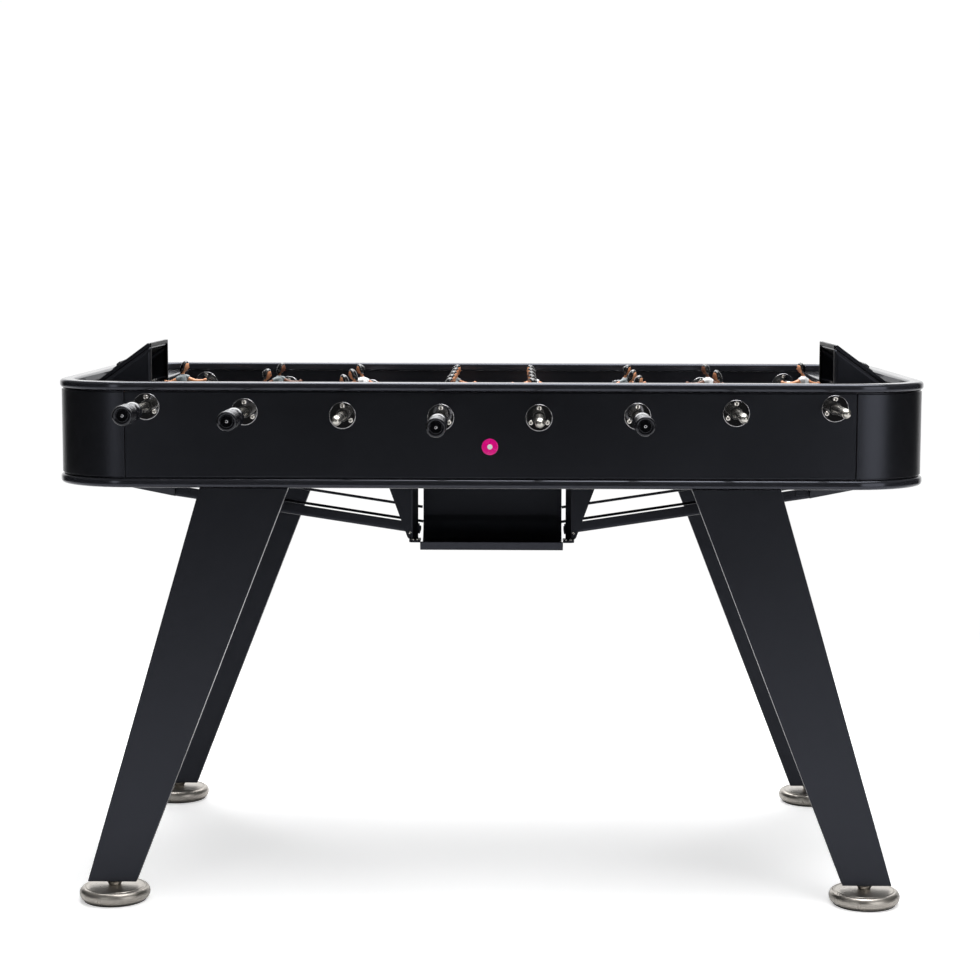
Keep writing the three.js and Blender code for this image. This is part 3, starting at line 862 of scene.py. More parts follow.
class FOOSBALL_OT_goals(bpy.types.Operator):
    """Fold the goal hoods, their cover plates, the end decks and the score counters"""

    bl_idname = "foosball.goals"
    bl_label = "Goals"

    def execute(self, context):
        sizes = context.scene.foosball_cabinet
        # The hoods' second finish is the matt black of painted shade on their front plates.
        put_at_both_ends(
            "goal_hood", self.housing(), "powder lining", "powder_coat", "goal_housing", bevel=sizes.edge,
        )
        put_at_both_ends("goal_cover", self.cover(), "powder lining", "powder_coat", bevel=1 * MM)
        put_at_both_ends("end_deck", self.deck(), "rim lining", "powder_coat", bevel=sizes.edge)
        put_at_both_ends(
            "score_counters", self.counters(), "counter lining", "counter_grey", bevel=0.5 * MM,
        )
        return {"FINISHED"}

    @staticmethod
    def deck():
        """The flat shelf beside the goal and the end wall folded down from it to the field."""
        bm = bmesh.new()
        face = GOAL_LOW.x
        top = PANEL_HIGH.z
        sheet = 2.5 * MM
        inset = PANEL_INSET + WALL + SHELL_GAP
        start = face + 11 * MM
        round_end = [(x, y) for x, y in end_path(inset, 28) if x > start]
        half = HALF_WIDTH - inset
        outline = [(start, -half), *round_end, (start, half)]
        opening = [(start + 0.1 * MM, -99 * MM), (GOAL_FOOT * MM, -99 * MM)]
        opening += [(x, -y) for x, y in opening[::-1]]
        slab(bm, outline, "z", top - sheet, top - 0.05 * MM, [opening])
        middle = sheet / MM / 2
        x = face / MM + middle
        z = top / MM - middle
        section = rounded([(x, 781.5, 0), (x, z, 2.6), (start / MM + 0.5, z, 0)], closed=False)
        for side in (-1, 1):
            ends = sorted((side * 92 * MM, side * (half - 0.3 * MM)))
            slab(bm, thickened(section, sheet), "y", *ends)
        return bm

    @staticmethod
    def slope_at(x, below=0.0):
        """Height of the cover's upper face, or a parallel line below it, in millimetres."""
        apex_x = GOAL_LOW.x / MM + 5
        return GOAL_HIGH.z / MM - (x - apex_x) * GOAL_SLOPE - below * math.hypot(1, GOAL_SLOPE)

    def housing(self):
        """Front plate with the goal mouth, folded round into both cheeks and a sloping top."""
        bm = bmesh.new()
        face = GOAL_LOW.x / MM
        foot = GOAL_FOOT - 1
        bottom = GOAL_BOTTOM
        half = GOAL_HALF
        sheet = 2.5
        fold = 7
        steps = 6
        turns = [math.radians(90 * i / steps) for i in range(steps + 1)]
        section = [(face + fold - fold * math.cos(t), half - fold + fold * math.sin(t)) for t in turns]
        inner = [
            (face + fold - (fold - sheet) * math.cos(t), half - fold + (fold - sheet) * math.sin(t))
            for t in turns
        ]
        top_drop = COVER_THICKNESS + 0.2
        for side in (-1, 1):
            bands = []
            for x, y in [*section, (foot, half)]:
                inset_turn = min(max((x - face) / fold, 0), 1)
                bands.append((x, y, self.slope_at(max(x, face + 5), top_drop + 0.2 + fold * inset_turn)))
            self.cheek(bm, bands, inner, side, bottom, foot, half, sheet)
        self.front_plate(bm, face, sheet, half - fold, bottom)
        self.top_fold(bm, face, foot, half, sheet, top_drop)
        return bm

    @staticmethod
    def cheek(bm, bands, inner, side, bottom, foot, half, sheet):
        """One side sheet with its rounded vertical fold."""
        outlines = ([(x, y) for x, y, _ in bands], [*inner, (foot, half - sheet)])
        rows = []
        for outline in outlines:
            for levels in ([bottom] * len(bands), [z for _, _, z in bands]):
                points = [(x * MM, side * y * MM, z * MM) for (x, y), z in zip(outline, levels)]
                rows.append([bm.verts.new(point) for point in points])
        folded_sheet(bm, *rows)

    def front_plate(self, bm, face, sheet, half, bottom):
        """The plate that faces the pitch, with the mouth cut out of it, all in the matt black that paints the
        shade inside the hood.
        """
        mouth_half = 91
        mouth_top = 948.5
        top = GOAL_HIGH.z / MM - 0.8
        outline = rounded(
            [
                (-half, bottom, 0), (-mouth_half, bottom, 0), (-mouth_half, mouth_top, 3),
                (mouth_half, mouth_top, 3), (mouth_half, bottom, 0), (half, bottom, 0), (half, top, 0),
                (-half, top, 0),
            ]
        )
        made = set(bm.faces)
        slab(bm, outline, "x", face * MM, (face + sheet) * MM)
        # Every face of the plate takes the second finish, the matt black of painted shade.
        for plate_face in bm.faces:
            if plate_face not in made:
                plate_face.material_index = 1

    def top_fold(self, bm, face, foot, half, sheet, drop):
        """The sloping top sheet, with round folds down to the cheeks."""
        fold = 7
        steps = 6
        section = []
        for i in range(steps + 1):
            turn = math.radians(90 - 90 * i / steps)
            section.append((half - fold + fold * math.cos(turn), fold - fold * math.sin(turn)))
        outer = [(-y, lift) for y, lift in section[::-1]] + section
        loops = []
        for depth in (0, sheet):
            narrower = 1 - depth / half
            for x in (face + 3, foot):
                row = []
                for y, lift in outer:
                    z = self.slope_at(max(x, face + 5), drop + lift + depth)
                    row.append(bm.verts.new((x * MM, y * narrower * MM, z * MM)))
                loops.append(row)
        folded_sheet(bm, *loops)

    def cover(self):
        """The thick plate on the slope, a little narrower than the hood so that its folds show."""
        bm = bmesh.new()
        start = GOAL_LOW.x / MM + 2.7
        foot = GOAL_FOOT
        outline = rounded(
            [
                (start, self.slope_at(start + 3, COVER_THICKNESS), 0),
                (foot, self.slope_at(foot, COVER_THICKNESS), 0), (foot, self.slope_at(foot), 0),
                (start + 3, self.slope_at(start + 3), 2.0), (start, self.slope_at(start + 3) - 1, 0),
            ],
            steps=4,
        )
        slab(bm, outline, "y", -COVER_HALF * MM, COVER_HALF * MM)
        return bm

    def counters(self):
        """A raised plate on the slope with ten counting beads in a row."""
        bm = bmesh.new()
        lean = Matrix.Rotation(math.atan(GOAL_SLOPE), 4, "Y")
        x = 680
        count = 10
        pitch = 15.5
        place = Matrix.Translation((x * MM, 0, self.slope_at(x) * MM)) @ lean
        base = rounded([(-15, -84, 6), (15, -84, 6), (15, 84, 6), (-15, 84, 6)], steps=4)
        slab(bm, base, "z", -0.5 * MM, 2 * MM, place=place)
        bead = [(0, 5.4), (5, 5.4), (6.5, 4), (6.5, 1.8), (0, 1.8)]
        for i in range(count):
            y = (i - (count - 1) / 2) * pitch
            lathe(bm, bead, 32, place @ Matrix.Translation((0, y * MM, 0)))
        return bm


# ---------------------------------------------------------------- ball return
class FOOSBALL_OT_tray(bpy.types.Operator):
    """Bend the ball tray and make its two brackets"""

    bl_idname = "foosball.tray"
    bl_label = "Ball tray"

    def execute(self, context):
        sizes = context.scene.foosball_cabinet
        back = TRAY_HIGH.y / MM
        lip = TRAY_LOW.y / MM
        bottom = TRAY_LOW.z / MM
        top = TRAY_HIGH.z / MM
        half = sizes.sheet / MM / 2
        path = rounded(
            [
                (back - half, top, 0), (back - half, bottom + half, 49), (lip + 5.5, bottom + half, 3),
                (lip + half, bottom + 16, 0),
            ],
            closed=False, steps=12,
        )
        bm = bmesh.new()
        slab(bm, thickened(path, sizes.sheet), "x", TRAY_LOW.x, TRAY_HIGH.x)
        mesh = finished_mesh("tray_sheet", bm, [FINISHES["powder"]], bevel=sizes.edge)
        put("tray_sheet", mesh, "cabinet", "powder_coat", "ball_tray")
        bracket = self.bracket()
        put_at_both_ends(
            "bracket_sheet", bracket, "powder", "powder_coat", "tray_bracket", bevel=sizes.edge,
        )
        put_at_both_ends("tray_screws", self.screws(), "bright", "screw_steel", crease=25)
        return {"FINISHED"}

    @staticmethod
    def bracket():
        """Tapered gusset, slanting flange and the tab that the tray rests on."""
        bm = bmesh.new()
        fold = 146.5
        inner = 136
        outer_bottom = 154
        low = BRACKET_LOW.z / MM
        high = BRACKET_HIGH.z / MM
        outer_top = BRACKET_HIGH.x / MM
        sheet = 2.5
        face = -60
        gusset = rounded(
            [
                (fold + 3, low + 3, 0), (outer_bottom, low + 3, 9), (outer_top, high, 0),
                (fold + 3, high, 0),
            ]
        )
        slab(bm, gusset, "y", face * MM, (face + sheet) * MM)
        middle = face + sheet / 2
        bend = [(fold + 3, middle, 0), (fold + 0.6, middle, 2.2), (inner + 1.3, face + 17, 0)]
        flange = thickened(rounded(bend, closed=False), sheet * MM)
        slab(bm, flange, "z", (low + 3) * MM, high * MM)
        tray_side = TRAY_HIGH.x / MM + 0.4
        tab = rounded(
            [
                (tray_side, -78, 0), (outer_bottom - 2, -78, 8), (outer_bottom - 2, -38, 5),
                (tray_side, -38, 0),
            ]
        )
        slab(bm, tab, "z", low * MM, (low + 4) * MM)
        return bm

    @staticmethod
    def screws():
        bm = bmesh.new()
        low = BRACKET_LOW.z / MM
        high = BRACKET_HIGH.z / MM
        out = facing(-1)
        for x, y, z, turned in (
            (137, -68, low + 4, Matrix()), (145.5, -70, low + 4, Matrix()), (150.5, -60, low + 16, out),
            (151.5, -60, high - 33, out),
        ):
            screw(bm, Vector((x, y, z)) * MM, turned, head=6)
        return bm


class FOOSBALL_OT_chutes(bpy.types.Operator):
    """Fold the ball chutes: hopper, channel, rear rail and guard wire"""

    bl_idname = "foosball.chutes"
    bl_label = "Ball chutes"

    LOW = (134, 600)
    HIGH = (588, 669)
    PAN_END = (724, 696)
    HALF = 33
    WALL_HEIGHT = 20
    PAN_HALF = 95
    SHEET = 2

    def execute(self, context):
        sizes = context.scene.foosball_cabinet
        for kind, draw, bevel, replaced in (
            ("channel", self.channel, sizes.edge, "ball_chute"), ("hopper", self.hopper, sizes.edge, ""),
            ("guard", self.guard, 0, ""),
        ):
            bm = bmesh.new()
            draw(bm)
            put_at_both_ends(
                f"chute_{kind}", bm, "powder", "powder_coat", replaced, bevel=bevel * 0.8, crease=40,
            )
        return {"FINISHED"}

    def floor_at(self, x):
        fall = (self.HIGH[1] - self.LOW[1]) / (self.HIGH[0] - self.LOW[0])
        return self.LOW[1] + (x - self.LOW[0]) * fall

    def channel(self, bm):
        """A U of sheet with rounded folds and a low rear wall, running down to the tray."""
        half = self.HALF - self.SHEET / 2
        top = self.WALL_HEIGHT
        floor = self.SHEET / 2
        path = rounded([(-half, top, 0), (-half, floor, 4), (half, floor, 4), (half, 8, 0)], closed=False)
        section = thickened(path, self.SHEET * MM)
        ends = []
        for x in (self.LOW[0], self.HIGH[0] + 6):
            lift = self.floor_at(x) * MM
            ends.append([bm.verts.new((x * MM, p.x, p.y + lift)) for p in section])
        low, high = ends
        for i in range(len(low)):
            j = (i + 1) % len(low)
            bm.faces.new((low[i], low[j], high[j], high[i]))
        bm.faces.new(low)
        bm.faces.new(high)
        x = self.HIGH[0] - 26
        lift = self.floor_at(x)
        tab = rounded(
            [(x, lift + 8, 2), (x + 22, lift + 11, 2), (x + 22, lift + 27, 2), (x, lift + 30, 2)]
        )
        slab(bm, tab, "y", -(self.HALF + 2) * MM, -self.HALF * MM)

    def hopper(self, bm):
        """A funnel under the goal: as wide as the goal at the top, as narrow as the channel at the bottom."""
        top = CHUTE_TOP / MM
        rings = []
        for inset in (0, self.SHEET):
            lower = self.HALF - inset
            upper = self.PAN_HALF - inset
            x0, x1 = self.HIGH[0] + inset, self.PAN_END[0] - inset
            z0, z1 = self.HIGH[1] + inset, self.PAN_END[1] + inset
            rings.append(
                (
                    [(x0, -lower, z0), (x1, -lower, z1), (x1, lower, z1), (x0, lower, z0)],
                    [(x0, -upper, top), (x1, -upper, top), (x1, upper, top), (x0, upper, top)],
                )
            )
        made = [[[bm.verts.new(Vector(p) * MM) for p in ring] for ring in pair] for pair in rings]
        (outer_low, outer_high), (inner_low, inner_high) = made
        for i in range(4):
            j = (i + 1) % 4
            bm.faces.new((outer_high[i], outer_high[j], inner_high[j], inner_high[i]))
            if i == 3:
                continue
            bm.faces.new((outer_low[i], outer_low[j], outer_high[j], outer_high[i]))
            bm.faces.new((inner_low[i], inner_low[j], inner_high[j], inner_high[i]))
        bm.faces.new(outer_low)
        bm.faces.new(inner_low)
        self.outlet(bm, outer_low, outer_high, inner_low, inner_high)

    def outlet(self, bm, outer_low, outer_high, inner_low, inner_high):
        """The hopper's inner end, open where the channel leaves it."""
        sill_z = (self.HIGH[1] + 46) * MM
        rows = []
        for low, high in ((outer_low, outer_high), (inner_low, inner_high)):
            row = []
            for k in (3, 0):
                t = (sill_z - low[k].co.z) / (high[k].co.z - low[k].co.z)
                row.append(bm.verts.new(low[k].co.lerp(high[k].co, t)))
            opening = [
                bm.verts.new((low[3].co.x, low[3].co.y * 0.97, sill_z)),
                bm.verts.new((low[0].co.x, low[0].co.y * 0.97, sill_z)),
            ]
            bm.faces.new((row[0], opening[0], opening[1], row[1], high[0], high[3]))
            bm.faces.new((low[3], row[0], opening[0]))
            bm.faces.new((low[0], row[1], opening[1]))
            rows.append(opening)
        (a, b), (c, d) = rows
        bm.faces.new((a, b, d, c))
        bm.faces.new((a, c, inner_low[3], outer_low[3]))
        bm.faces.new((b, d, inner_low[0], outer_low[0]))
        bm.faces.new((outer_low[3], outer_low[0], inner_low[0], inner_low[3]))

    def guard(self, bm):
        """The wire above the channel, the rail at its rear and the arch that carries both."""
        hoop_x = 160
        lift = 48
        gauge = 2.6
        start = hoop_x - 30
        end = self.HIGH[0] + 4
        for y, height in ((0, lift), (self.HALF - gauge, 17)):
            ends = [Vector((x, y, self.floor_at(x) + height)) * MM for x in (start, end)]
            wire(bm, ends, gauge * MM)
        floor = self.floor_at(hoop_x)
        y = self.HALF - gauge - 0.5
        top = floor + lift - 5
        corners = [
            (hoop_x, -y, floor + 3, 0), (hoop_x, -y, top, 9), (hoop_x, y, top, 9),
            (hoop_x, y, floor + 3, 0),
        ]
        arch = rounded(corners, closed=False)
        wire(bm, arch, gauge * MM)


# ---------------------------------------------------------------- legs and feet
class FOOSBALL_OT_legs(bpy.types.Operator):
    """Make the tapered legs and the round levelling feet"""

    bl_idname = "foosball.legs"
    bl_label = "Legs and feet"

    def execute(self, context):
        sizes = context.scene.foosball_cabinet
        foot_mesh = self.foot()
        pad_mesh = self.pad()
        foot_y = -(LEG_LOW.y + LEG_HIGH.y) / 2
        shape = self.leg()
        for end, end_leg in (("left", mirrored(shape)), ("right", shape)):
            for face, sy in FACES:
                bm = end_leg.copy()
                if sy > 0:
                    bmesh.ops.translate(bm, vec=(0, 2 * foot_y, 0), verts=bm.verts)
                name = f"{face}_{end}"
                foot = f"{name}_foot"
                mesh = finished_mesh(
                    f"{name}_leg_box", bm, [FINISHES["powder"]], bevel=0.9 * MM, segments=3,
                )
                put(f"{name}_leg_box", mesh, "cabinet", "powder_coat", f"{name}_leg")
                low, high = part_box(foot)
                place = Matrix.Translation(((low.x + high.x) / 2, sy * foot_y, 0))
                put(f"{foot}_bun", foot_mesh, foot, "foot_steel", foot, place=place)
                put(f"{foot}_pad", pad_mesh, foot, "rubber_black", place=place)
        return {"FINISHED"}

    @staticmethod
    def leg():
        """A flat box section, wide under the cabinet and narrow at the foot."""
        bm = bmesh.new()
        top, bottom = LEG_HIGH.z, LEG_LOW.z
        foot_end = (611 * MM, 695.5 * MM)
        cabinet_end = (343 * MM, 494 * MM)
        outline = [
            (foot_end[0], bottom), (foot_end[1], bottom), (cabinet_end[1], top), (cabinet_end[0], top),
        ]
        slab(bm, outline, "y", LEG_LOW.y, LEG_HIGH.y)
        return bm

    @staticmethod
    def foot():
        """A turned bun with a groove round its top plate and a tapered collar."""
        bulge = [
            (52.6 + 8.3 * math.cos(t), 13.2 + 10.6 * math.sin(t))
            for t in (math.radians(-70 + 158 * i / 20) for i in range(21))
        ]
        profile = [
            (0, 1.6), (53.5, 1.6), (54.6, 2.2), *bulge, (51.6, 23.9), (50.9, 23.3), (50.2, 23.3),
            (49.5, 24.1), (30, 25.3), (11.2, 26.2), (10.6, 26.7), (13.2, 31.2), (13.4, 32.9), (6, 32.9),
            (6, 61.8), (0, 61.8),
        ]
        return turned_mesh("foot_bun", profile, "foot", 72, 38)

    @staticmethod
    def pad():
        profile = [(0, 0), (53, 0), (54, 0.6), (54.4, 2.6), (52, 3), (0, 3)]
        return turned_mesh("foot_pad", profile, "rubber", 72, 30)


# ---------------------------------------------------------------- rods, bearings and handles
class FOOSBALL_OT_bearings(bpy.types.Operator):
    """Fit a bearing plate, a bush and three screws on both faces of each wall hole"""

    bl_idname = "foosball.bearings"
    bl_label = "Bearings"

    def execute(self, context):
        sizes = context.scene.foosball_rods
        plate = self.plate(sizes)
        bush = self.bush()
        screws = self.screws(sizes)
        for number, rod in enumerate(RODS, 1):
            for face, side in FACES:
                outer = Matrix.Translation((rod.x, side * OUTER_FACE, rod.z)) @ facing(side)
                inner = Matrix.Translation((rod.x, side * INNER_FACE, rod.z)) @ facing(-side)
                put(f"bearing_plate_{face}_{number}", plate, "cabinet", "screw_steel", place=outer)
                put(f"inner_plate_{face}_{number}", plate, "cabinet", "screw_steel", place=inner)
                put(f"bearing_bush_{face}_{number}", bush, "cabinet", "bearing_black", place=outer)
                put(f"bearing_screws_{face}_{number}", screws, "cabinet", "screw_steel", place=outer)
                put(f"inner_screws_{face}_{number}", screws, "cabinet", "screw_steel", place=inner)
        return {"FINISHED"}

    @staticmethod
    def plate(sizes):
        """A polished disc with a raised bead round its edge."""
        r = sizes.plate / MM / 2
        profile = [
            (10.4, 0), (10.4, 1.3), (10.7, 1.5), (r - 1.5, 1.5), (r - 1.3, 1.9), (r - 0.9, 2.5),
            (r - 0.4, 2.4), (r, 1.7), (r, 0),
        ]
        return turned_mesh("bearing_plate", profile, "mirror", 72, 50, closed=True)

    @staticmethod
    def bush():
        """A nylon sleeve through the wall, with a low collar on both faces."""
        depth = WALL / MM
        profile = [
            (8.4, 2.3), (9.3, 2.5), (10.1, 2.1), (10.3, 1.2), (10.3, 0), (13.6, -0.3),
            (13.6, 0.3 - depth), (10.3, -depth), (10.3, -depth - 1.2), (10.1, -depth - 2.1),
            (9.3, -depth - 2.5), (8.4, -depth - 2.3),
        ]
        return turned_mesh("bearing_bush", profile, "nylon", 48, 40, closed=True)

    @staticmethod
    def screws(sizes):
        bm = bmesh.new()
        for k in range(3):
            turn = math.radians(-90 + 120 * k)
            centre = Vector((math.cos(turn), math.sin(turn), 0)) * sizes.screw_circle
            centre.z = 1.5 * MM
            screw(bm, centre, Matrix(), head=sizes.screw / MM)
        return finished_mesh("bearing_screws", bm, [FINISHES["bright"]], crease=25)


BUFFER_REACH = {1: 269, 2: 231, 3: 231, 5: 254}
PLAYERS_ON_ROD = [
    sum(name.startswith(f"player_{n}_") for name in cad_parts) for n in range(1, ROD_COUNT + 1)
]


class FOOSBALL_OT_rods(bpy.types.Operator):
    """Turn the rods, their stop collars and rubber buffers, and the handles"""

    bl_idname = "foosball.rods"
    bl_label = "Rods and handles"

    def execute(self, context):
        sizes = context.scene.foosball_rods
        rod = self.rod()
        handle = self.handle()
        cap = self.cap_screw()
        buffer = self.buffer(sizes)
        collar = self.collar()
        for number, centre in enumerate(RODS, 1):
            side = handle_side(number)
            axis = Matrix.Translation(centre) @ facing(side)
            put(f"rod_{number}_tube", rod, f"rod_{number}", "rod_steel", f"rod_{number}", place=axis)
            spun = f"players_{number}"
            put(f"handle_{number}_grip", handle, spun, "grip_black", f"handle_{number}", place=axis)
            put(f"handle_{number}_screw", cap, spun, "screw_steel", place=axis)
            reach = BUFFER_REACH[PLAYERS_ON_ROD[number - 1]] * MM
            for face, out in FACES:
                stop = Matrix.Translation((centre.x, out * reach, centre.z)) @ facing(out)
                put(f"rod_{number}_buffer_{face}", buffer, f"rod_{number}", "rubber_black", place=stop)
                put(f"rod_{number}_collar_{face}", collar, f"rod_{number}", "screw_steel", place=stop)
        return {"FINISHED"}

    @staticmethod
    def rod():
        """A ground tube with a domed knob at the end away from the handle."""
        low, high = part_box("rod_1")
        side = handle_side(1)
        tip = (low.y if side > 0 else -high.y) / MM
        end = (high.y if side > 0 else -low.y) / MM
        r = ROD_RADIUS / MM
        knob = 6.9
        neck = tip + knob
        dome = [
            (knob * math.sin(t), neck - knob * math.cos(t))
            for t in (math.radians(104 * i / 14) for i in range(15))
        ]
        profile = [
            *dome, (6.5, neck + 3.2), (7.6, neck + 4.2), (r, neck + 4.9), (r, end - 0.6), (r - 0.6, end),
            (5.5, end), (5.5, end - 20), (0, end - 20),
        ]
        profile[0] = (0, tip)
        return turned_mesh("rod_tube", profile, "steel", 48, 35)

    @staticmethod
    def handle():
        """A grip turned in glossy black, with four ribs at the end and a stepped, hollow end face."""
        low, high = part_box("handle_1")
        inner = min(abs(low.y), abs(high.y)) / MM
        outer = max(abs(low.y), abs(high.y)) / MM
        bore = ROD_RADIUS / MM + 0.3
        profile = [(bore, inner), (10.6, inner), (11.4, inner + 0.8), (11.8, inner + 3.4)]
        swell = [
            (12.2 + 4.2 * math.sin(math.pi * i / 14) ** 0.8, inner + 4 + 34 * i / 14) for i in range(15)
        ]
        waist = [
            (12.2 + 2.4 * math.sin(math.pi * i / 10) ** 0.9, inner + 38.4 + 27 * i / 10)
            for i in range(11)
        ]
        profile += swell + waist
        for k in range(4):
            start = inner + 66.6 + 8.6 * k
            profile += [
                (12.9, start), (15.2, start + 1.1), (16.2, start + 2.8), (16.5, start + 4.3),
                (16.2, start + 5.8), (15.2, start + 7.4),
            ]
        profile += [
            (13.9, outer - 13.2), (13.9, outer - 12.2), (15.9, outer - 11.2), (16.5, outer - 8.6),
            (16.4, outer - 4.2), (15.8, outer - 1.9), (14.6, outer - 0.5), (13.2, outer),
            (12.5, outer - 0.4), (12.2, outer - 2.2), (11.2, outer - 2.8), (10.1, outer - 1.9),
            (9.3, outer - 1.9), (8.8, outer - 2.8), (8.4, outer - 5.4), (bore, outer - 8),
        ]
        return turned_mesh("handle_grip", profile, "grip", 64, 48, closed=True)

    @staticmethod
    def cap_screw():
        """The plug and screw that close the end of the rod inside the handle."""
        low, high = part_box("handle_1")
        outer = max(abs(low.y), abs(high.y)) / MM
        bm = bmesh.new()
        lathe(bm, [(0, outer - 7.5), (8.0, outer - 7.5), (8.0, outer - 5.6), (0, outer - 5.2)], 32)
        screw(bm, Vector((0, 0, (outer - 5.2) * MM)), Matrix(), head=6.4, material=1)
        return finished_mesh("handle_screw", bm, [FINISHES["grip"], FINISHES["mirror"]], crease=25)

    @staticmethod
    def buffer(sizes):
        """A ringed rubber bumper."""
        length_mm = sizes.buffer / MM
        profile = [(8.2, 0), (10.8, 0), (11.6, 0.9)]
        for k in range(3):
            start = 1.4 + k * (length_mm - 2) / 3
            profile += [(12.2, start), (12.2, start + 1.5), (11.2, start + 2.1)]
        profile += [(11.6, length_mm - 0.5), (10.6, length_mm), (8.2, length_mm)]
        return turned_mesh("rod_buffer", profile, "rubber", 40, 45, closed=True)

    @staticmethod
    def collar():
        """A steel stop ring behind the buffer, with its grub screw."""
        bm = bmesh.new()
        lathe(
            bm, [(8.15, -7), (11, -7), (11.5, -6.5), (11.5, -0.7), (11, -0.2), (8.15, -0.2)], 40,
            closed=True,
        )
        screw(bm, Vector((0, 11.2 * MM, -3.6 * MM)), facing(1), head=4)
        return finished_mesh("rod_collar", bm, [FINISHES["bright"]], crease=30)


# ---------------------------------------------------------------- players
SKIN, SHIRT, HAIR, BOOTS, EYE, LIPS = range(6)


def limb(bm, path, radii, sides, material):
    """A round limb along a path in millimetres, one radius at each point."""
    points = [Vector(p) * MM for p in path]
    sections = []
    for i, (point, radius) in enumerate(zip(points, radii)):
        along = (points[min(i + 1, len(points) - 1)] - points[max(i - 1, 0)]).normalized()
        guide = Vector((0, 1, 0)) if abs(along.y) < 0.8 else Vector((0, 0, 1))
        across = along.cross(guide).normalized()
        sections.append((point, across * radius * MM, along.cross(across).normalized() * radius * MM))
    loft(bm, sections, sides, material)


def rings(bm, levels, sides, material):
    """A body of level oval sections: (height, middle x, half depth, middle y, half width)."""
    sections = []
    for height, x, depth, y, width in levels:
        centre = Vector((x, y, height)) * MM
        sections.append((centre, Vector((depth * MM, 0, 0)), Vector((0, width * MM, 0))))
    loft(bm, sections, sides, material)


def bump(value, middle, width):
    """A smooth rise of height 1 round a middle value."""
    return math.exp(-(((value - middle) / width) ** 2))


def ball(bm, centre, radii, material, shape=None, u=20, v=14):
    """An ellipsoid in millimetres; shape may push its points about."""
    made = bmesh.ops.create_uvsphere(bm, u_segments=u, v_segments=v, radius=1)["verts"]
    for vert in made:
        d = vert.co.normalized()
        point = Vector((d.x * radii[0], d.y * radii[1], d.z * radii[2]))
        if shape:
            point = shape(d, point)
        vert.co = (point + Vector(centre)) * MM
    for face in {f for vert in made for f in vert.link_faces}:
        face.material_index = material


def face_shape(d, point):
    """A doll's face: narrow chin, small nose, shallow eye sockets and soft lips."""
    front = max(d.x, 0)
    if d.z < -0.2:
        point.y *= 1 - 0.42 * (-d.z - 0.2)
    nose = bump(d.y, 0, 0.13) * bump(d.z, -0.12, 0.13) * front
    bridge = bump(d.y, 0, 0.1) * bump(d.z, 0.08, 0.16) * front
    sockets = (bump(d.y, 0.34, 0.17) + bump(d.y, -0.34, 0.17)) * bump(d.z, 0.12, 0.12) * front
    mouth = bump(d.y, 0, 0.24) * bump(d.z, -0.42, 0.08) * front
    chin = bump(d.y, 0, 0.25) * bump(d.z, -0.72, 0.16) * front
    point.x += 2.1 * nose + 0.9 * bridge - 0.8 * sockets + 0.55 * mouth + 1.0 * chin
    return point


def hair_shape(d, point):
    """Swept hair that leaves the face free, with combed locks."""
    hairline = 0.5 + 0.28 * abs(d.y)
    uncovered = max(0.0, min(1.0, (d.x - 0.18) / 0.3)) * max(0.0, min(1.0, (hairline - d.z) / 0.22))
    locks = 0.35 * math.sin(15 * math.atan2(d.y, d.z + 0.001)) * (1 - abs(d.x))
    return point * (1 - 0.26 * uncovered) + d * locks * (1 - uncovered)


